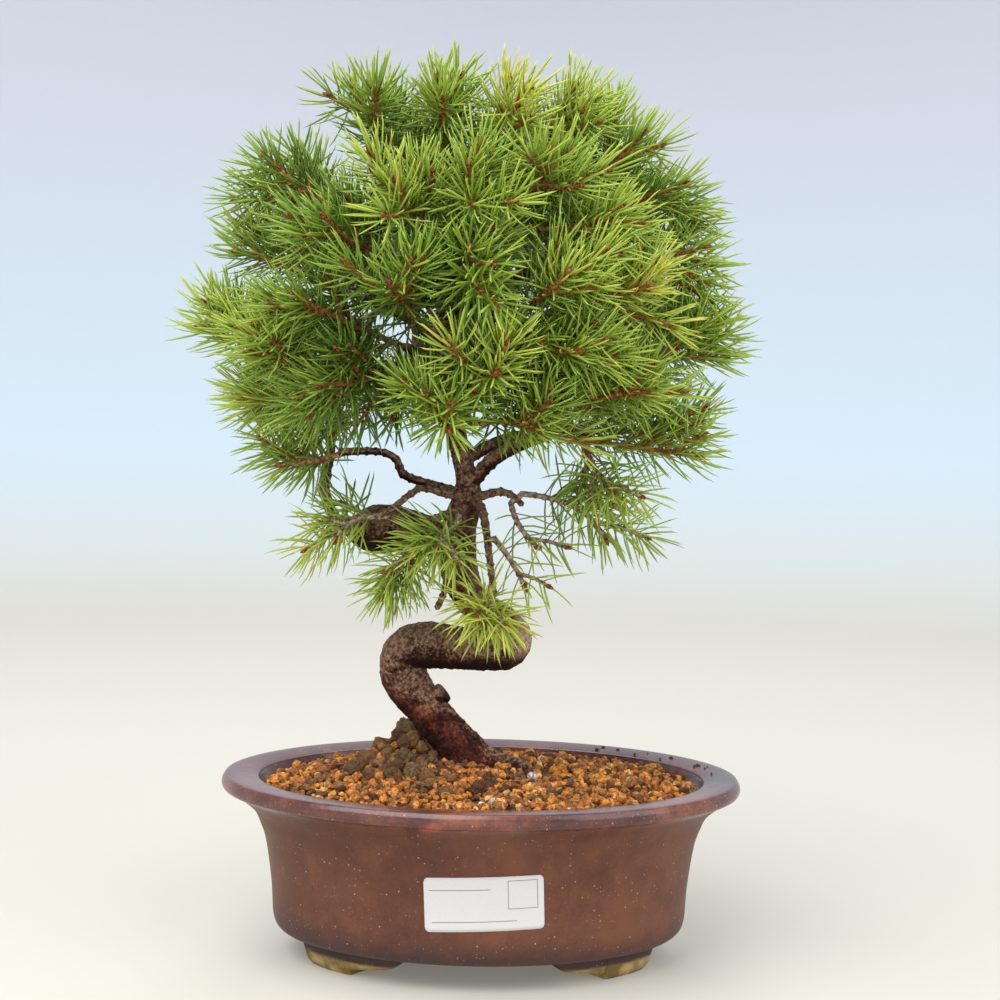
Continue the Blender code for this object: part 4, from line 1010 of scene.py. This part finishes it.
# Main and side shoots of every spray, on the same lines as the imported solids
def planShoots(wood, s):
    trunk, boughs = woodPaths(wood)
    taken = TakenSpace()
    for path in [trunk] + boughs:
        taken.addPath(path[:, :3], path[:, 3], -1)
    points = woodPoints(wood)
    mains, roots, reached = [], [], {}
    rest = (s["crownStem"], s["perMm"])
    rows = [(*row, *rest) for row in s["crown"]] + [*s["low"]] + [(*row, *rest) for row in backTips(s)]
    for owner, row in enumerate(rows):
        tip = np.array(row[:3], dtype=float)
        main, point = growMain(tip, endDirection(tip, row[3], s), row[4], points, taken, owner, s)
        taken.addPath(main, s["stemRadius"], owner)
        mains.append(main)
        roots.append(point[0])
        reached[point[3]] = max(reached.get(point[3], 0.0), point[4])
    sides = []
    for owner, main in enumerate(mains):
        reach = min(s["sideLength"], s["sideShare"] * lengthsAlong(main)[-1])
        side = growSide(main, bearingLayout(main, s)[1], owner * goldenAngle, reach, taken, owner, s)
        taken.addPath(side[1:], s["tipRadius"], owner)
        sides.append([side])
    for extra, (share, reach) in enumerate((*s["extraSides"], *s["lowSides"])):
        forCrown = extra < len(s["extraSides"])
        for owner, main in enumerate(mains):
            inCrown = rows[owner][4] == s["crownStem"]
            if inCrown != forCrown or rows[owner][5] < s["dense"]:
                continue
            length = lengthsAlong(main)[-1]
            first = bearingLayout(main, s)[0]
            distance = max(first + (length - first) * share, 3.0)
            side = growSide(main, distance, owner * goldenAngle + 2.1 * (extra + 1), reach, taken, -9, s)
            taken.addPath(side[1:], s["tipRadius"], owner)
            sides[owner].append(side)
    return mains, roots, [row[5] for row in rows], sides, reached


mains, roots, densities, sides, reached = planShoots(woodSettings, shootSettings)
print("shoots planned:", len(mains), "sprays")


# Two or three pegs on every other ring, turned a little from one to the next
def pegRows(count, sides):
    ring = np.arange(count)[:, None]
    turned = 2 * math.pi * np.arange(sides)[None] / sides * 2 + ring * 1.7
    return np.maximum(np.sin(turned), 0) ** 2 * (ring % 2)


# Bark on a tube: radius grows and shrinks with coarse lumps, fibres along the wood and small flakes
def barkTube(path, sides, lump, seed, step, pale=0.0):
    length = lengthsAlong(path)[-1]
    count = max(int(length / step), 4)
    rows = readPath(path, np.linspace(0, length, count))
    centres, radii = rows[None, :, :3], rows[None, :, 3]
    body = tubes(centres, radii, sides)[0][0, :-2].reshape(count - 2, sides, 3)
    coarse = noise(body, 9.0, seed) * 0.6 + noise(body, 4.0, seed + 1) * 0.4
    angle = np.broadcast_to(2 * math.pi * np.arange(sides) / sides, (count - 2, sides))
    alongSteps = np.broadcast_to(np.linspace(0, length, count)[1:-1, None], angle.shape)
    strands = np.stack([np.cos(angle) * 2.2, np.sin(angle) * 2.2, alongSteps * 0.9 + coarse * 1.6], axis=-1)
    fibre = noise(strands, 0.9, seed + 2) * 0.6 + noise(strands, 0.45, seed + 5) * 0.4
    flake = np.maximum(noise(body, 2.1, seed + 3), 0) ** 1.5
    relief = lump * (0.5 * coarse + 0.46 * fibre + 0.5 * flake + 0.24 * noise(body, 0.9, seed + 4))
    if sides < 20:
        relief += 0.4 * pegRows(count - 2, sides)
    full = np.zeros((1, count, sides))
    full[0, 1:-1] = relief
    points, faces = tubes(centres, radii[..., None] + full, sides)
    # the relief's in and out, which the finish reads to paint shade where the bark sinks in
    hollowShade = np.concatenate([(fibre * 0.5 + 0.3 * flake + 0.5).ravel(), [0.5, 0.5]])
    outward = unit(body - rows[1:-1, None, :3])
    # how much the bark faces up, raised on the pale boughs: it places the flakes, and where it is low the finish
    # paints shade
    upper = np.concatenate([np.clip(outward[..., 2] * 0.6 + 0.4 + pale, 0, 1).ravel(), [0.5, 0.5]])
    return points, faces, hollowShade, upper


# Trunk, stub, root and boughs as one piece of bark
def addWood(wood):
    trunk, boughs = woodPaths(wood)
    bare, bearing = trunk[:wood["trunkChange"] + 1], trunk[wood["trunkChange"] - 1:]
    stub, root = smoothPath(wood["stub"], 3), smoothPath(wood["root"], 3)
    parts = [(bare, *wood["bareBark"]), (bearing, *wood["bearingBark"]),
             (stub, *wood["stubBark"]), (root, *wood["rootBark"])]
    for branch, path in enumerate(boughs, start=1):
        if branch not in wood["wholeBoughs"]:
            if branch not in reached:
                continue
            along = lengthsAlong(path)
            length = reached[branch] + wood["boughEnd"]
            path = np.vstack([path[along < length], readPath(path, length)])
        thick = path[0, 3] > 4
        pale = 0.45 if branch in wood["paleBoughs"] else 0.0
        parts.append((path, 64 if thick else 14, 0.7 if thick else 0.3, 20 + branch, 0.5 if thick else 0.7, pale))
    made = [barkTube(*part) for part in parts]
    points, faces = joined([(part[0], part[1]) for part in made])
    # the bulb at the bend's right end is marked for the finish, which paints it pale as painted light
    item = addPiece("trunkAndBoughs", points, faces, finishes["bark"],
                    {"fibre": np.concatenate([part[2] for part in made]),
                     "upper": np.concatenate([part[3] for part in made]),
                     "low": np.clip((84 - points[:, 2]) / 8, 0, 1),
                     "worn": np.clip((points[:, 0] - 8) / 4, 0, 1) * (np.abs(points[:, 2] - 101) < 9)})
    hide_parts("trunk")


addWood(woodSettings)
print("trunk and boughs made")


# Sprays

needleSettings = {
    "length": 14.2,
    "spread": 2.0,
    "tipShortening": 0.2,
    "openLean": 73.0,
    "tipLean": 24.0,
    "halfWidth": 0.37,
    "halfThickness": 0.26,
    "curve": 0.2,
    # how far needles bend up in the crown and down on the low shoots
    "lift": 0.2,
    "droop": -0.7,
    "stops": (0.0, 0.32, 0.8, 1.0),
    "widths": (0.75, 1.0, 0.85, 0.0),
}

twigSettings = {
    "step": 0.7,
    "peg": 0.36,
    # radius at both ends and sides of a main shoot and of a side shoot
    "main": (shootSettings["stemRadius"] * 0.95, 0.7, 8),
    "side": (0.7, 0.55, 6),
    # lengths of the buds at the tip of a main shoot and of a side shoot
    "tipBuds": (3.3, 2.3),
    "nextBuds": (2.2, 1.7),
    "firstSeed": 400,
}


# Roots, directions and sizes of the needles on one shoot: round it by the golden angle, leaning less
# toward its tip
def needleLayout(path, start, density, rng, s):
    length = lengthsAlong(path)[-1]
    count = max(int((length - start) * density), 8)
    share = ((np.arange(count) + 0.5) / count) ** 0.92
    distance = start + (length - start) * share
    turn = goldenAngle * np.arange(count) + rng.uniform(0, 2 * math.pi)
    ahead = tangentAlong(path, distance)
    first = unit(np.cross(ahead, np.array([0.1, 0.2, 1.0])))
    second = np.cross(ahead, first)
    out = first * np.cos(turn)[:, None] + second * np.sin(turn)[:, None]
    lean = s["openLean"] + (s["tipLean"] - s["openLean"]) * share**2.8 + rng.normal(0, 8, count)
    lean = np.radians(lean)[:, None]
    aim = unit(ahead * np.cos(lean) + out * np.sin(lean) + np.array([0, 0, 0.05]) + rng.normal(0, 0.06, (count, 3)))
    size = s["length"] * (1 - s["tipShortening"] * share**2) + rng.normal(0, s["spread"] / 2, count)
    root = readPath(path, distance) + out * 0.7
    return root, aim, ahead, size


# A needle's line: root + size * (aim t + bend t^2), the bend turning toward the shoot's tip and up or down
def needleTubes(root, aim, ahead, size, lift, rng, s):
    t = np.array(s["stops"])
    toward = ahead * 0.8 + np.array([0, 0, lift]) + rng.normal(0, 0.25, aim.shape)
    bend = unit(toward - np.sum(toward * aim, axis=1, keepdims=True) * aim)
    amount = s["curve"] * (0.5 + rng.random(len(root)))[:, None, None]
    line = aim[:, None] * t[:, None] + bend[:, None] * amount * (t**2)[:, None]
    paths = root[:, None] + line * size[:, None, None]
    across = np.broadcast_to(np.cross(aim, bend)[:, None], paths.shape)
    widths = np.array(s["widths"])
    radii = np.stack([widths * s["halfWidth"], widths * s["halfThickness"]] * 2, axis=-1)
    points, faces = tubesWithEnds(paths, np.broadcast_to(radii, (len(root), len(t), 4)), across)
    along = np.concatenate([np.repeat(t[:-1], 4), [0.0, 1.0]])
    return points, faces, np.broadcast_to(along, (len(root), len(along)))


# Four-sided tubes whose rings start at the first point, with a pole at the root and at the tip
def tubesWithEnds(paths, radii, across):
    ahead = unit(np.gradient(paths, axis=1))
    second = np.cross(ahead, across)
    angles = 2 * math.pi * np.arange(4) / 4
    spread = across[:, :, None] * np.cos(angles)[:, None] + second[:, :, None] * np.sin(angles)[:, None]
    rings = (paths[:, :, None] + spread * radii[..., None])[:, :-1]
    points = np.concatenate([rings.reshape(len(paths), -1, 3), paths[:, :1], paths[:, -1:]], axis=1)
    return points, tubeFaces(len(paths), rings.shape[1], 4)


# Twigs: tubes with small pegs where needles stood, and pointed buds at the tips
def twigTube(path, radius, end, sides):
    length = lengthsAlong(path)[-1]
    count = max(int(length / twigSettings["step"]), 5)
    rows = readPath(path, np.linspace(0, length, count))
    radii = np.linspace(radius, end, count)
    return tubes(rows[None], (radii[:, None] + twigSettings["peg"] * pegRows(count, sides))[None], sides)


# A bud: a pointed egg along its axis, with scales as ripples of its radius
def budShapes(tips, axes, sizes):
    t = np.linspace(0, 1, 7)
    paths = tips[:, None] + axes[:, None] * (t[:, None] - 0.1) * sizes[:, None, None]
    profile = np.sin(math.pi * t**0.75) * (1 - 0.25 * t) * 0.34
    ripple = 1 + 0.12 * np.sin(np.arange(6)[None] * 2.1 + np.arange(7)[:, None] * 2.6)
    radii = profile[None, :, None] * ripple[None] * sizes[:, None, None]
    return tubes(paths, radii, 6)


# Needles get lighter from the crown's middle outward, partly their own colour and partly painted shade deep in the
# crown
def shadeOf(place, base):
    s = shootSettings
    share = np.linalg.norm((place - s["middle"]) / np.array(s["reach"]), axis=-1)
    return np.clip((share - 0.4) / 0.75, 0, 1) ** 1.2 * 0.62 + base


# One spray: all needles as one piece that stands for the CAD spray, its twigs and buds as another
def addSpray(owner, main, sideShoots):
    rng = np.random.default_rng(twigSettings["firstSeed"] + owner)
    s = shootSettings
    node = f"spray_{owner + 1:02d}"
    needleParts, alongParts, shadeParts = [], [], []
    isLow = main[-1, 2] < s["lowZone"] + 8
    tone = 0.1 + rng.normal(0, 0.04) if isLow else np.clip(rng.normal(0.13, 0.1), -0.05, 0.36)
    lift = needleSettings["droop"] if isLow else needleSettings["lift"]
    starts = [bearingLayout(main, s)[0]] + [3.0] * len(sideShoots)
    for path, start in zip([main, *sideShoots], starts):
        root, aim, ahead, size = needleLayout(path, start, densities[owner], rng, needleSettings)
        points, faces, along = needleTubes(root, aim, ahead, size, lift, rng, needleSettings)
        needleParts.append((points, faces))
        alongParts.append(along.ravel())
        own = rng.normal(0, 0.07, len(root))[:, None] + rng.normal(0, 0.05)
        shadeParts.append(np.clip(shadeOf(points, tone) + own, 0, 1).ravel())
    points, faces = joined(needleParts)
    item = addPiece(f"needles_{owner + 1:02d}", points, faces, finishes["needles"],
                    {"along": np.concatenate(alongParts), "shade": np.concatenate(shadeParts)})
    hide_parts(node)
    stem = np.vstack([roots[owner], main])
    twigs = [twigTube(stem, *twigSettings["main"])]
    twigs += [twigTube(side, *twigSettings["side"]) for side in sideShoots]
    ends = np.array([path[-1] for path in [main, *sideShoots]])
    axes = np.array([unit(path[-1] - path[-2]) for path in [main, *sideShoots]])
    first, other = twigSettings["tipBuds"]
    buds = [budShapes(ends, axes, np.array([first] + [other] * len(sideShoots)))]
    first, other = twigSettings["nextBuds"]
    for i in range(2):
        lean = unit(axes + unit(np.cross(axes, rng.normal(0, 1, 3))) * 0.9)
        buds.append(budShapes(ends - axes * 0.8, lean, np.array([first] + [other] * len(sideShoots))))
    points, faces = joined(twigs + buds)
    budCount = sum(part[0].reshape(-1, 3).shape[0] for part in buds)
    bud = np.concatenate([np.zeros(len(points) - budCount), np.ones(budCount)])
    inside = np.linalg.norm((points - s["middle"]) / np.array(s["reach"]), axis=-1)
    addPiece(f"twigs_{owner + 1:02d}", points, faces, finishes["twigs"],
             {"bud": bud, "age": np.clip(np.maximum((0.75 - inside) / 0.35, (160 - points[:, 2]) / 12), 0, 1)})
    return sum(len(part[0]) for part in needleParts)


needleCount = sum(addSpray(owner, mains[owner], sides[owner]) for owner in range(len(mains)))
print("needles made:", needleCount)


# Soil

grainSettings = {
    "level": 54.0,
    "inset": 13.6,
    "pitch": 2.55,
    "radius": 1.38,
    "upper": 820,
    "seed": 77,
    # heap of darker soil by the trunk: middle, reach each way
    "heap": (-24.0, 2.0, 17.0, 22.0),
    # single clods and bits of charcoal: x, y, radius, tone, moss
    "clods": (
        (1.0, 20.0, 3.4, 0.02, 0.0), (10.5, 23.0, 3.0, 0.16, 0.55), (16.0, 25.0, 2.8, 0.18, 0.2),
        (22.0, 21.0, 2.6, 0.1, 0.0), (28.0, 31.0, 1.6, 0.0, 0.0), (43.0, 27.0, 2.4, 0.0, 0.0),
        (46.5, 25.5, 1.9, 0.02, 0.1), (30.0, 11.0, 2.5, 0.03, 0.0), (34.0, 10.0, 2.0, 0.02, 0.0),
        (62.0, 3.0, 2.1, 0.02, 0.0), (67.0, -6.0, 2.0, 0.2, 1.0), (65.0, -11.0, 1.6, 0.2, 0.9),
        (-1.0, -27.0, 2.8, 0.06, 0.0), (3.0, -25.0, 2.3, 0.04, 0.0), (-11.0, -31.0, 2.5, 0.2, 0.1),
        (-25.0, 15.0, 4.6, 0.24, 0.35), (-31.0, 2.0, 2.8, 0.05, 0.0), (-27.0, 9.0, 2.7, 0.04, 0.0),
        (-16.0, 5.0, 3.2, 0.22, 0.5), (-53.0, 27.0, 1.6, 0.02, 0.0), (-60.0, -14.0, 1.7, 0.05, 0.0),
        (-64.0, 4.0, 1.5, 1.0, 0.0), (4.0, -37.0, 1.9, 1.0, 0.25),
    ),
    "heapClods": 54,
    "fallen": 12,
    "rimBits": 14,
}


# Grains: an egg-shaped grid of rings, each point pushed in or out by its own random share
def grainShapes(places, sizes, rng, rings=4, sides=7, lumpiness=0.19):
    count = len(places)
    polar = math.pi * (np.arange(rings + 2) / (rings + 1))
    turn = 2 * math.pi * np.arange(sides) / sides
    ring = np.stack([np.sin(polar)[:, None] * np.cos(turn), np.sin(polar)[:, None] * np.sin(turn),
                     -np.broadcast_to(np.cos(polar)[:, None], (rings + 2, sides))], axis=-1)
    body = np.concatenate([ring[1:-1].reshape(-1, 3), ring[0, :1], ring[-1, :1]])
    stretch = rng.uniform(0.72, 1.2, (count, 1, 3))
    lumps = rng.uniform(0.95 - lumpiness, 0.95 + lumpiness, (count, len(body), 1))
    local = body[None] * stretch * lumps * sizes[:, None, None]
    turns = rotations(rng.normal(0, 1, (count, 4)))
    return places[:, None] + np.einsum("kij,knj->kni", turns, local), tubeFaces(count, rings, sides)


# Rotation matrices from four random numbers each, read as a quaternion
def rotations(q):
    w, x, y, z = unit(q).T
    rows = [[1 - 2 * (y * y + z * z), 2 * (x * y - w * z), 2 * (x * z + w * y)],
            [2 * (x * y + w * z), 1 - 2 * (x * x + z * z), 2 * (y * z - w * x)],
            [2 * (x * z - w * y), 2 * (y * z + w * x), 1 - 2 * (x * x + y * y)]]
    return np.moveaxis(np.array(rows), 2, 0)


# Heights of the packed soil under given places, by a ray straight down
def soilHeights(x, y):
    soil = BVHTree.FromObject(frame["nodes"]["soil"], bpy.context.evaluated_depsgraph_get())
    heights = []
    for a, b in zip(x * mm + potMiddle[0], y * mm + potMiddle[1]):
        hit = soil.ray_cast((a, b, 0.2), (0, 0, -1))[0]
        heights.append(hit.z / mm if hit else np.nan)
    return np.array(heights)


# Whether a place is over the part of the root that shows above the soil
def onRoot(x, y, z):
    root = smoothPath(woodSettings["root"], 8)
    away = np.hypot(x[:, None] - root[:, 0], y[:, None] - root[:, 1])
    nearest = np.argmin(away, axis=1)
    radius = root[nearest, 3]
    return (away.min(axis=1) < radius) & (root[nearest, 2] + radius > z - 1.2)


# Small grains everywhere, first a close layer and then some that lie on top
def addGrains(s, rng):
    longAxis, shortAxis = potSettings["length"] / 2 - s["inset"], potSettings["depth"] / 2 - s["inset"]
    columns, rows = np.meshgrid(np.arange(-32, 33), np.arange(-26, 27))
    x = (columns + 0.5 * (rows % 2)) * s["pitch"] + rng.uniform(-0.5, 0.5, columns.shape)
    y = rows * s["pitch"] * 0.866 + rng.uniform(-0.5, 0.5, columns.shape)
    angle = rng.uniform(0, 2 * math.pi, s["upper"])
    far = np.sqrt(rng.random(s["upper"])) * 0.97
    x = np.concatenate([x.ravel(), longAxis * far * np.cos(angle)])
    y = np.concatenate([y.ravel(), shortAxis * far * np.sin(angle)])
    top = np.arange(len(x)) >= columns.size
    z = soilHeights(x, y)
    keep = (np.hypot(x / longAxis, y / shortAxis) < 0.985) & (z > s["level"] - 4) & ~onRoot(x, y, z)
    x, y, z, top = x[keep], y[keep], z[keep], top[keep]
    sizes = s["radius"] * rng.uniform(0.62, 1.25, len(x))
    z = z + np.where(top, sizes * 1.2, sizes * 0.25)
    points, faces = grainShapes(np.stack([x, y, z], axis=-1), sizes, rng)
    middleX, middleY, reachX, reachY = s["heap"]
    heap = np.exp(-(((x - middleX) / reachX) ** 2) - ((y - middleY) / reachY) ** 2)
    tone = rng.beta(2.1, 2.0, len(x)) * (1 - 0.8 * heap * rng.random(len(x)))
    tone = np.where(rng.random(len(x)) < 0.08, rng.uniform(0, 0.12, len(x)), np.clip(tone, 0, 0.95))
    tone = np.where(rng.random(len(x)) < 0.004, 1.0, tone)
    moss = np.clip(0.6 * heap * rng.random(len(x)) - 0.2, 0, 1)
    each = points.shape[1]
    addPiece("soilGrains", points, faces, finishes["grains"],
             {"tone": np.repeat(tone, each), "moss": np.repeat(moss, each)}, smooth=False)
    print("grains made:", len(x))


# Larger clods, charcoal and moss on the soil, and a few bits on the rim's back right
def addClods(s, rng):
    middleX, middleY, reachX, reachY = s["heap"]
    count = s["heapClods"]
    loose = np.stack([rng.normal(middleX, reachX * 0.55, count), rng.normal(middleY, reachY * 0.55, count),
                      rng.uniform(1.6, 3.3, count), rng.uniform(0.04, 0.32, count),
                      rng.uniform(-0.4, 0.6, count)], axis=-1)
    angle = rng.uniform(0.1, 1.0, s["rimBits"])
    inset = rng.uniform(4.0, 9.5, s["rimBits"])
    onRim = np.stack([(potSettings["length"] / 2 - inset) * np.cos(angle),
                      (potSettings["depth"] / 2 - inset) * np.sin(angle),
                      rng.uniform(0.3, 0.65, s["rimBits"]), rng.uniform(0.04, 0.16, s["rimBits"]),
                      rng.uniform(-0.2, 0.6, s["rimBits"])], axis=-1)
    rows = np.vstack([np.array(s["clods"]), loose])
    heights = soilHeights(rows[:, 0], rows[:, 1])
    rows, heights = rows[heights > s["level"] - 4], heights[heights > s["level"] - 4]
    heights = np.concatenate([heights + rows[:, 2] * 0.45, np.full(s["rimBits"], potSettings["height"] - 0.15)])
    rows = np.vstack([rows, onRim])
    points, faces = grainShapes(np.stack([rows[:, 0], rows[:, 1], heights], axis=-1), rows[:, 2], rng, 8, 12, 0.1)
    points = points + unit(points - points.mean(axis=1, keepdims=True)) * (
        noise(points, 1.7, 31)[..., None] * rows[:, 2, None, None] * 0.22)
    each = points.shape[1]
    addPiece("soilClods", points, faces, finishes["grains"],
             {"tone": np.repeat(rows[:, 3], each), "moss": np.repeat(np.clip(rows[:, 4], 0, 1), each)}, smooth=False)


# Fallen needles lie flat on the grains
def addFallen(s, rng):
    count = s["fallen"]
    x = np.concatenate([[54.0], rng.normal(-14, 20, count - 1)])
    y = np.concatenate([[-29.0], rng.normal(-12, 14, count - 1)])
    turn = np.concatenate([[0.35], rng.uniform(0, math.pi, count - 1)])
    aim = np.stack([np.cos(turn), np.sin(turn), rng.uniform(-0.03, 0.06, count)], axis=-1)
    size = rng.uniform(8, 12, count)
    middle = np.stack([x, y, soilHeights(x, y) + 2.6], axis=-1)
    keep = middle[:, 2] > s["level"] - 2
    middle, aim, size = middle[keep], unit(aim[keep]), size[keep]
    ahead = np.cross(aim, [0.0, 0.0, 1.0])
    thin = {**needleSettings, "halfWidth": 0.26, "halfThickness": 0.2}
    points, faces, _ = needleTubes(middle - aim * size[:, None] / 2, aim, ahead, size, 0.0, rng, thin)
    addPiece("fallenNeedles", points, faces, finishes["fallen"],
             {"tone": np.repeat(rng.random(len(middle)), points.shape[1])})


# Grains, clods and fallen needles draw from one random row, in this order
def addSoil(s):
    rng = np.random.default_rng(s["seed"])
    addGrains(s, rng)
    addClods(s, rng)
    addFallen(s, rng)


addSoil(grainSettings)
dressNode("soil", "bed")


# Floor and light

studioSettings = {
    # heights in metres up the backdrop and the colour there
    "backdrop": ((0.0, screen(198, 195, 184)), (0.05, screen(198, 204, 202)), (0.16, screen(194, 209, 219)),
                 (0.7, screen(190, 193, 202))),
    "glow": 0.28,
    "sides": 96,
    "aimHeight": 0.13,
    "flatRadius": 1.0,
    "bendRadius": 0.6,
    "wallHeight": 1.6,
    "worldStrength": 0.34,
    # place in metres, size and power of each soft lamp
    "lamps": (
        ((-0.4, -0.55, 1.25), 1.2, 20.0),
        ((0.9, -0.6, 0.9), 0.9, 5.5),
        ((0.1, 0.9, 1.3), 0.9, 5.0),
    ),
}


# A pale bowl: a flat floor whose edge bends up into a round wall, so that no horizon shows
def addStudio(s):
    flat, bend = s["flatRadius"], s["bendRadius"]
    turn = np.linspace(0, math.pi / 2, 16)
    radius = np.concatenate([[0.02, flat * 0.5], flat + bend * np.sin(turn), [flat + bend]])
    height = np.concatenate([[0.0, 0.0], bend * (1 - np.cos(turn)), [s["wallHeight"]]])
    sides = s["sides"]
    around = 2 * math.pi * np.arange(sides) / sides
    points = np.stack([radius[:, None] * np.cos(around), radius[:, None] * np.sin(around),
                       np.broadcast_to(height[:, None], (len(radius), sides))], axis=-1).reshape(-1, 3)
    ring = np.arange(len(radius) - 1)[:, None] * sides
    side = np.arange(sides)[None]
    after = (side + 1) % sides
    quads = np.stack([ring + side, ring + sides + side, ring + sides + after, ring + after], axis=-1).reshape(-1, 4)
    mesh = bpy.data.meshes.new("paleFloor")
    mesh.from_pydata(points.tolist(), [], quads.tolist() + [list(range(sides))])
    mesh.polygons.foreach_set("use_smooth", np.ones(len(mesh.polygons), dtype=bool))
    floor = bpy.data.objects.new("paleFloor", mesh)
    bpy.context.scene.collection.objects.link(floor)
    material, desk, shader = newMaterial("paleFloor")
    up = desk.add("ShaderNodeSeparateXYZ", {0: desk.position()}).outputs[2]
    colour = desk.ramp(up, s["backdrop"])
    desk.feed(colour, shader.inputs["Base Color"])
    desk.feed(colour, shader.inputs["Emission Color"])
    shader.inputs["Emission Strength"].default_value = s["glow"]
    setGloss(shader, 0.9)
    mesh.materials.append(material)
    world = bpy.data.worlds.new("softStudio")
    bpy.context.scene.world = world
    world.use_nodes = True
    back = world.node_tree.nodes["Background"]
    back.inputs["Color"].default_value = screen(246, 246, 244)
    back.inputs["Strength"].default_value = s["worldStrength"]
    bpy.context.scene.view_settings.view_transform = "Standard"
    for index, (place, size, power) in enumerate(s["lamps"]):
        data = bpy.data.lights.new(f"softLamp{index}", "AREA")
        data.size, data.energy = size, power
        item = bpy.data.objects.new(data.name, data)
        bpy.context.scene.collection.objects.link(item)
        forward = unit(np.array([0.0, 0.0, s["aimHeight"]]) - np.array(place))
        right = unit(np.cross(forward, [0.0, 0.0, 1.0]))
        rows = np.eye(4)
        rows[:3, 0], rows[:3, 1], rows[:3, 2], rows[:3, 3] = right, np.cross(right, forward), -forward, place
        item.matrix_world = Matrix(rows.tolist())


addStudio(studioSettings)
print("studio made")
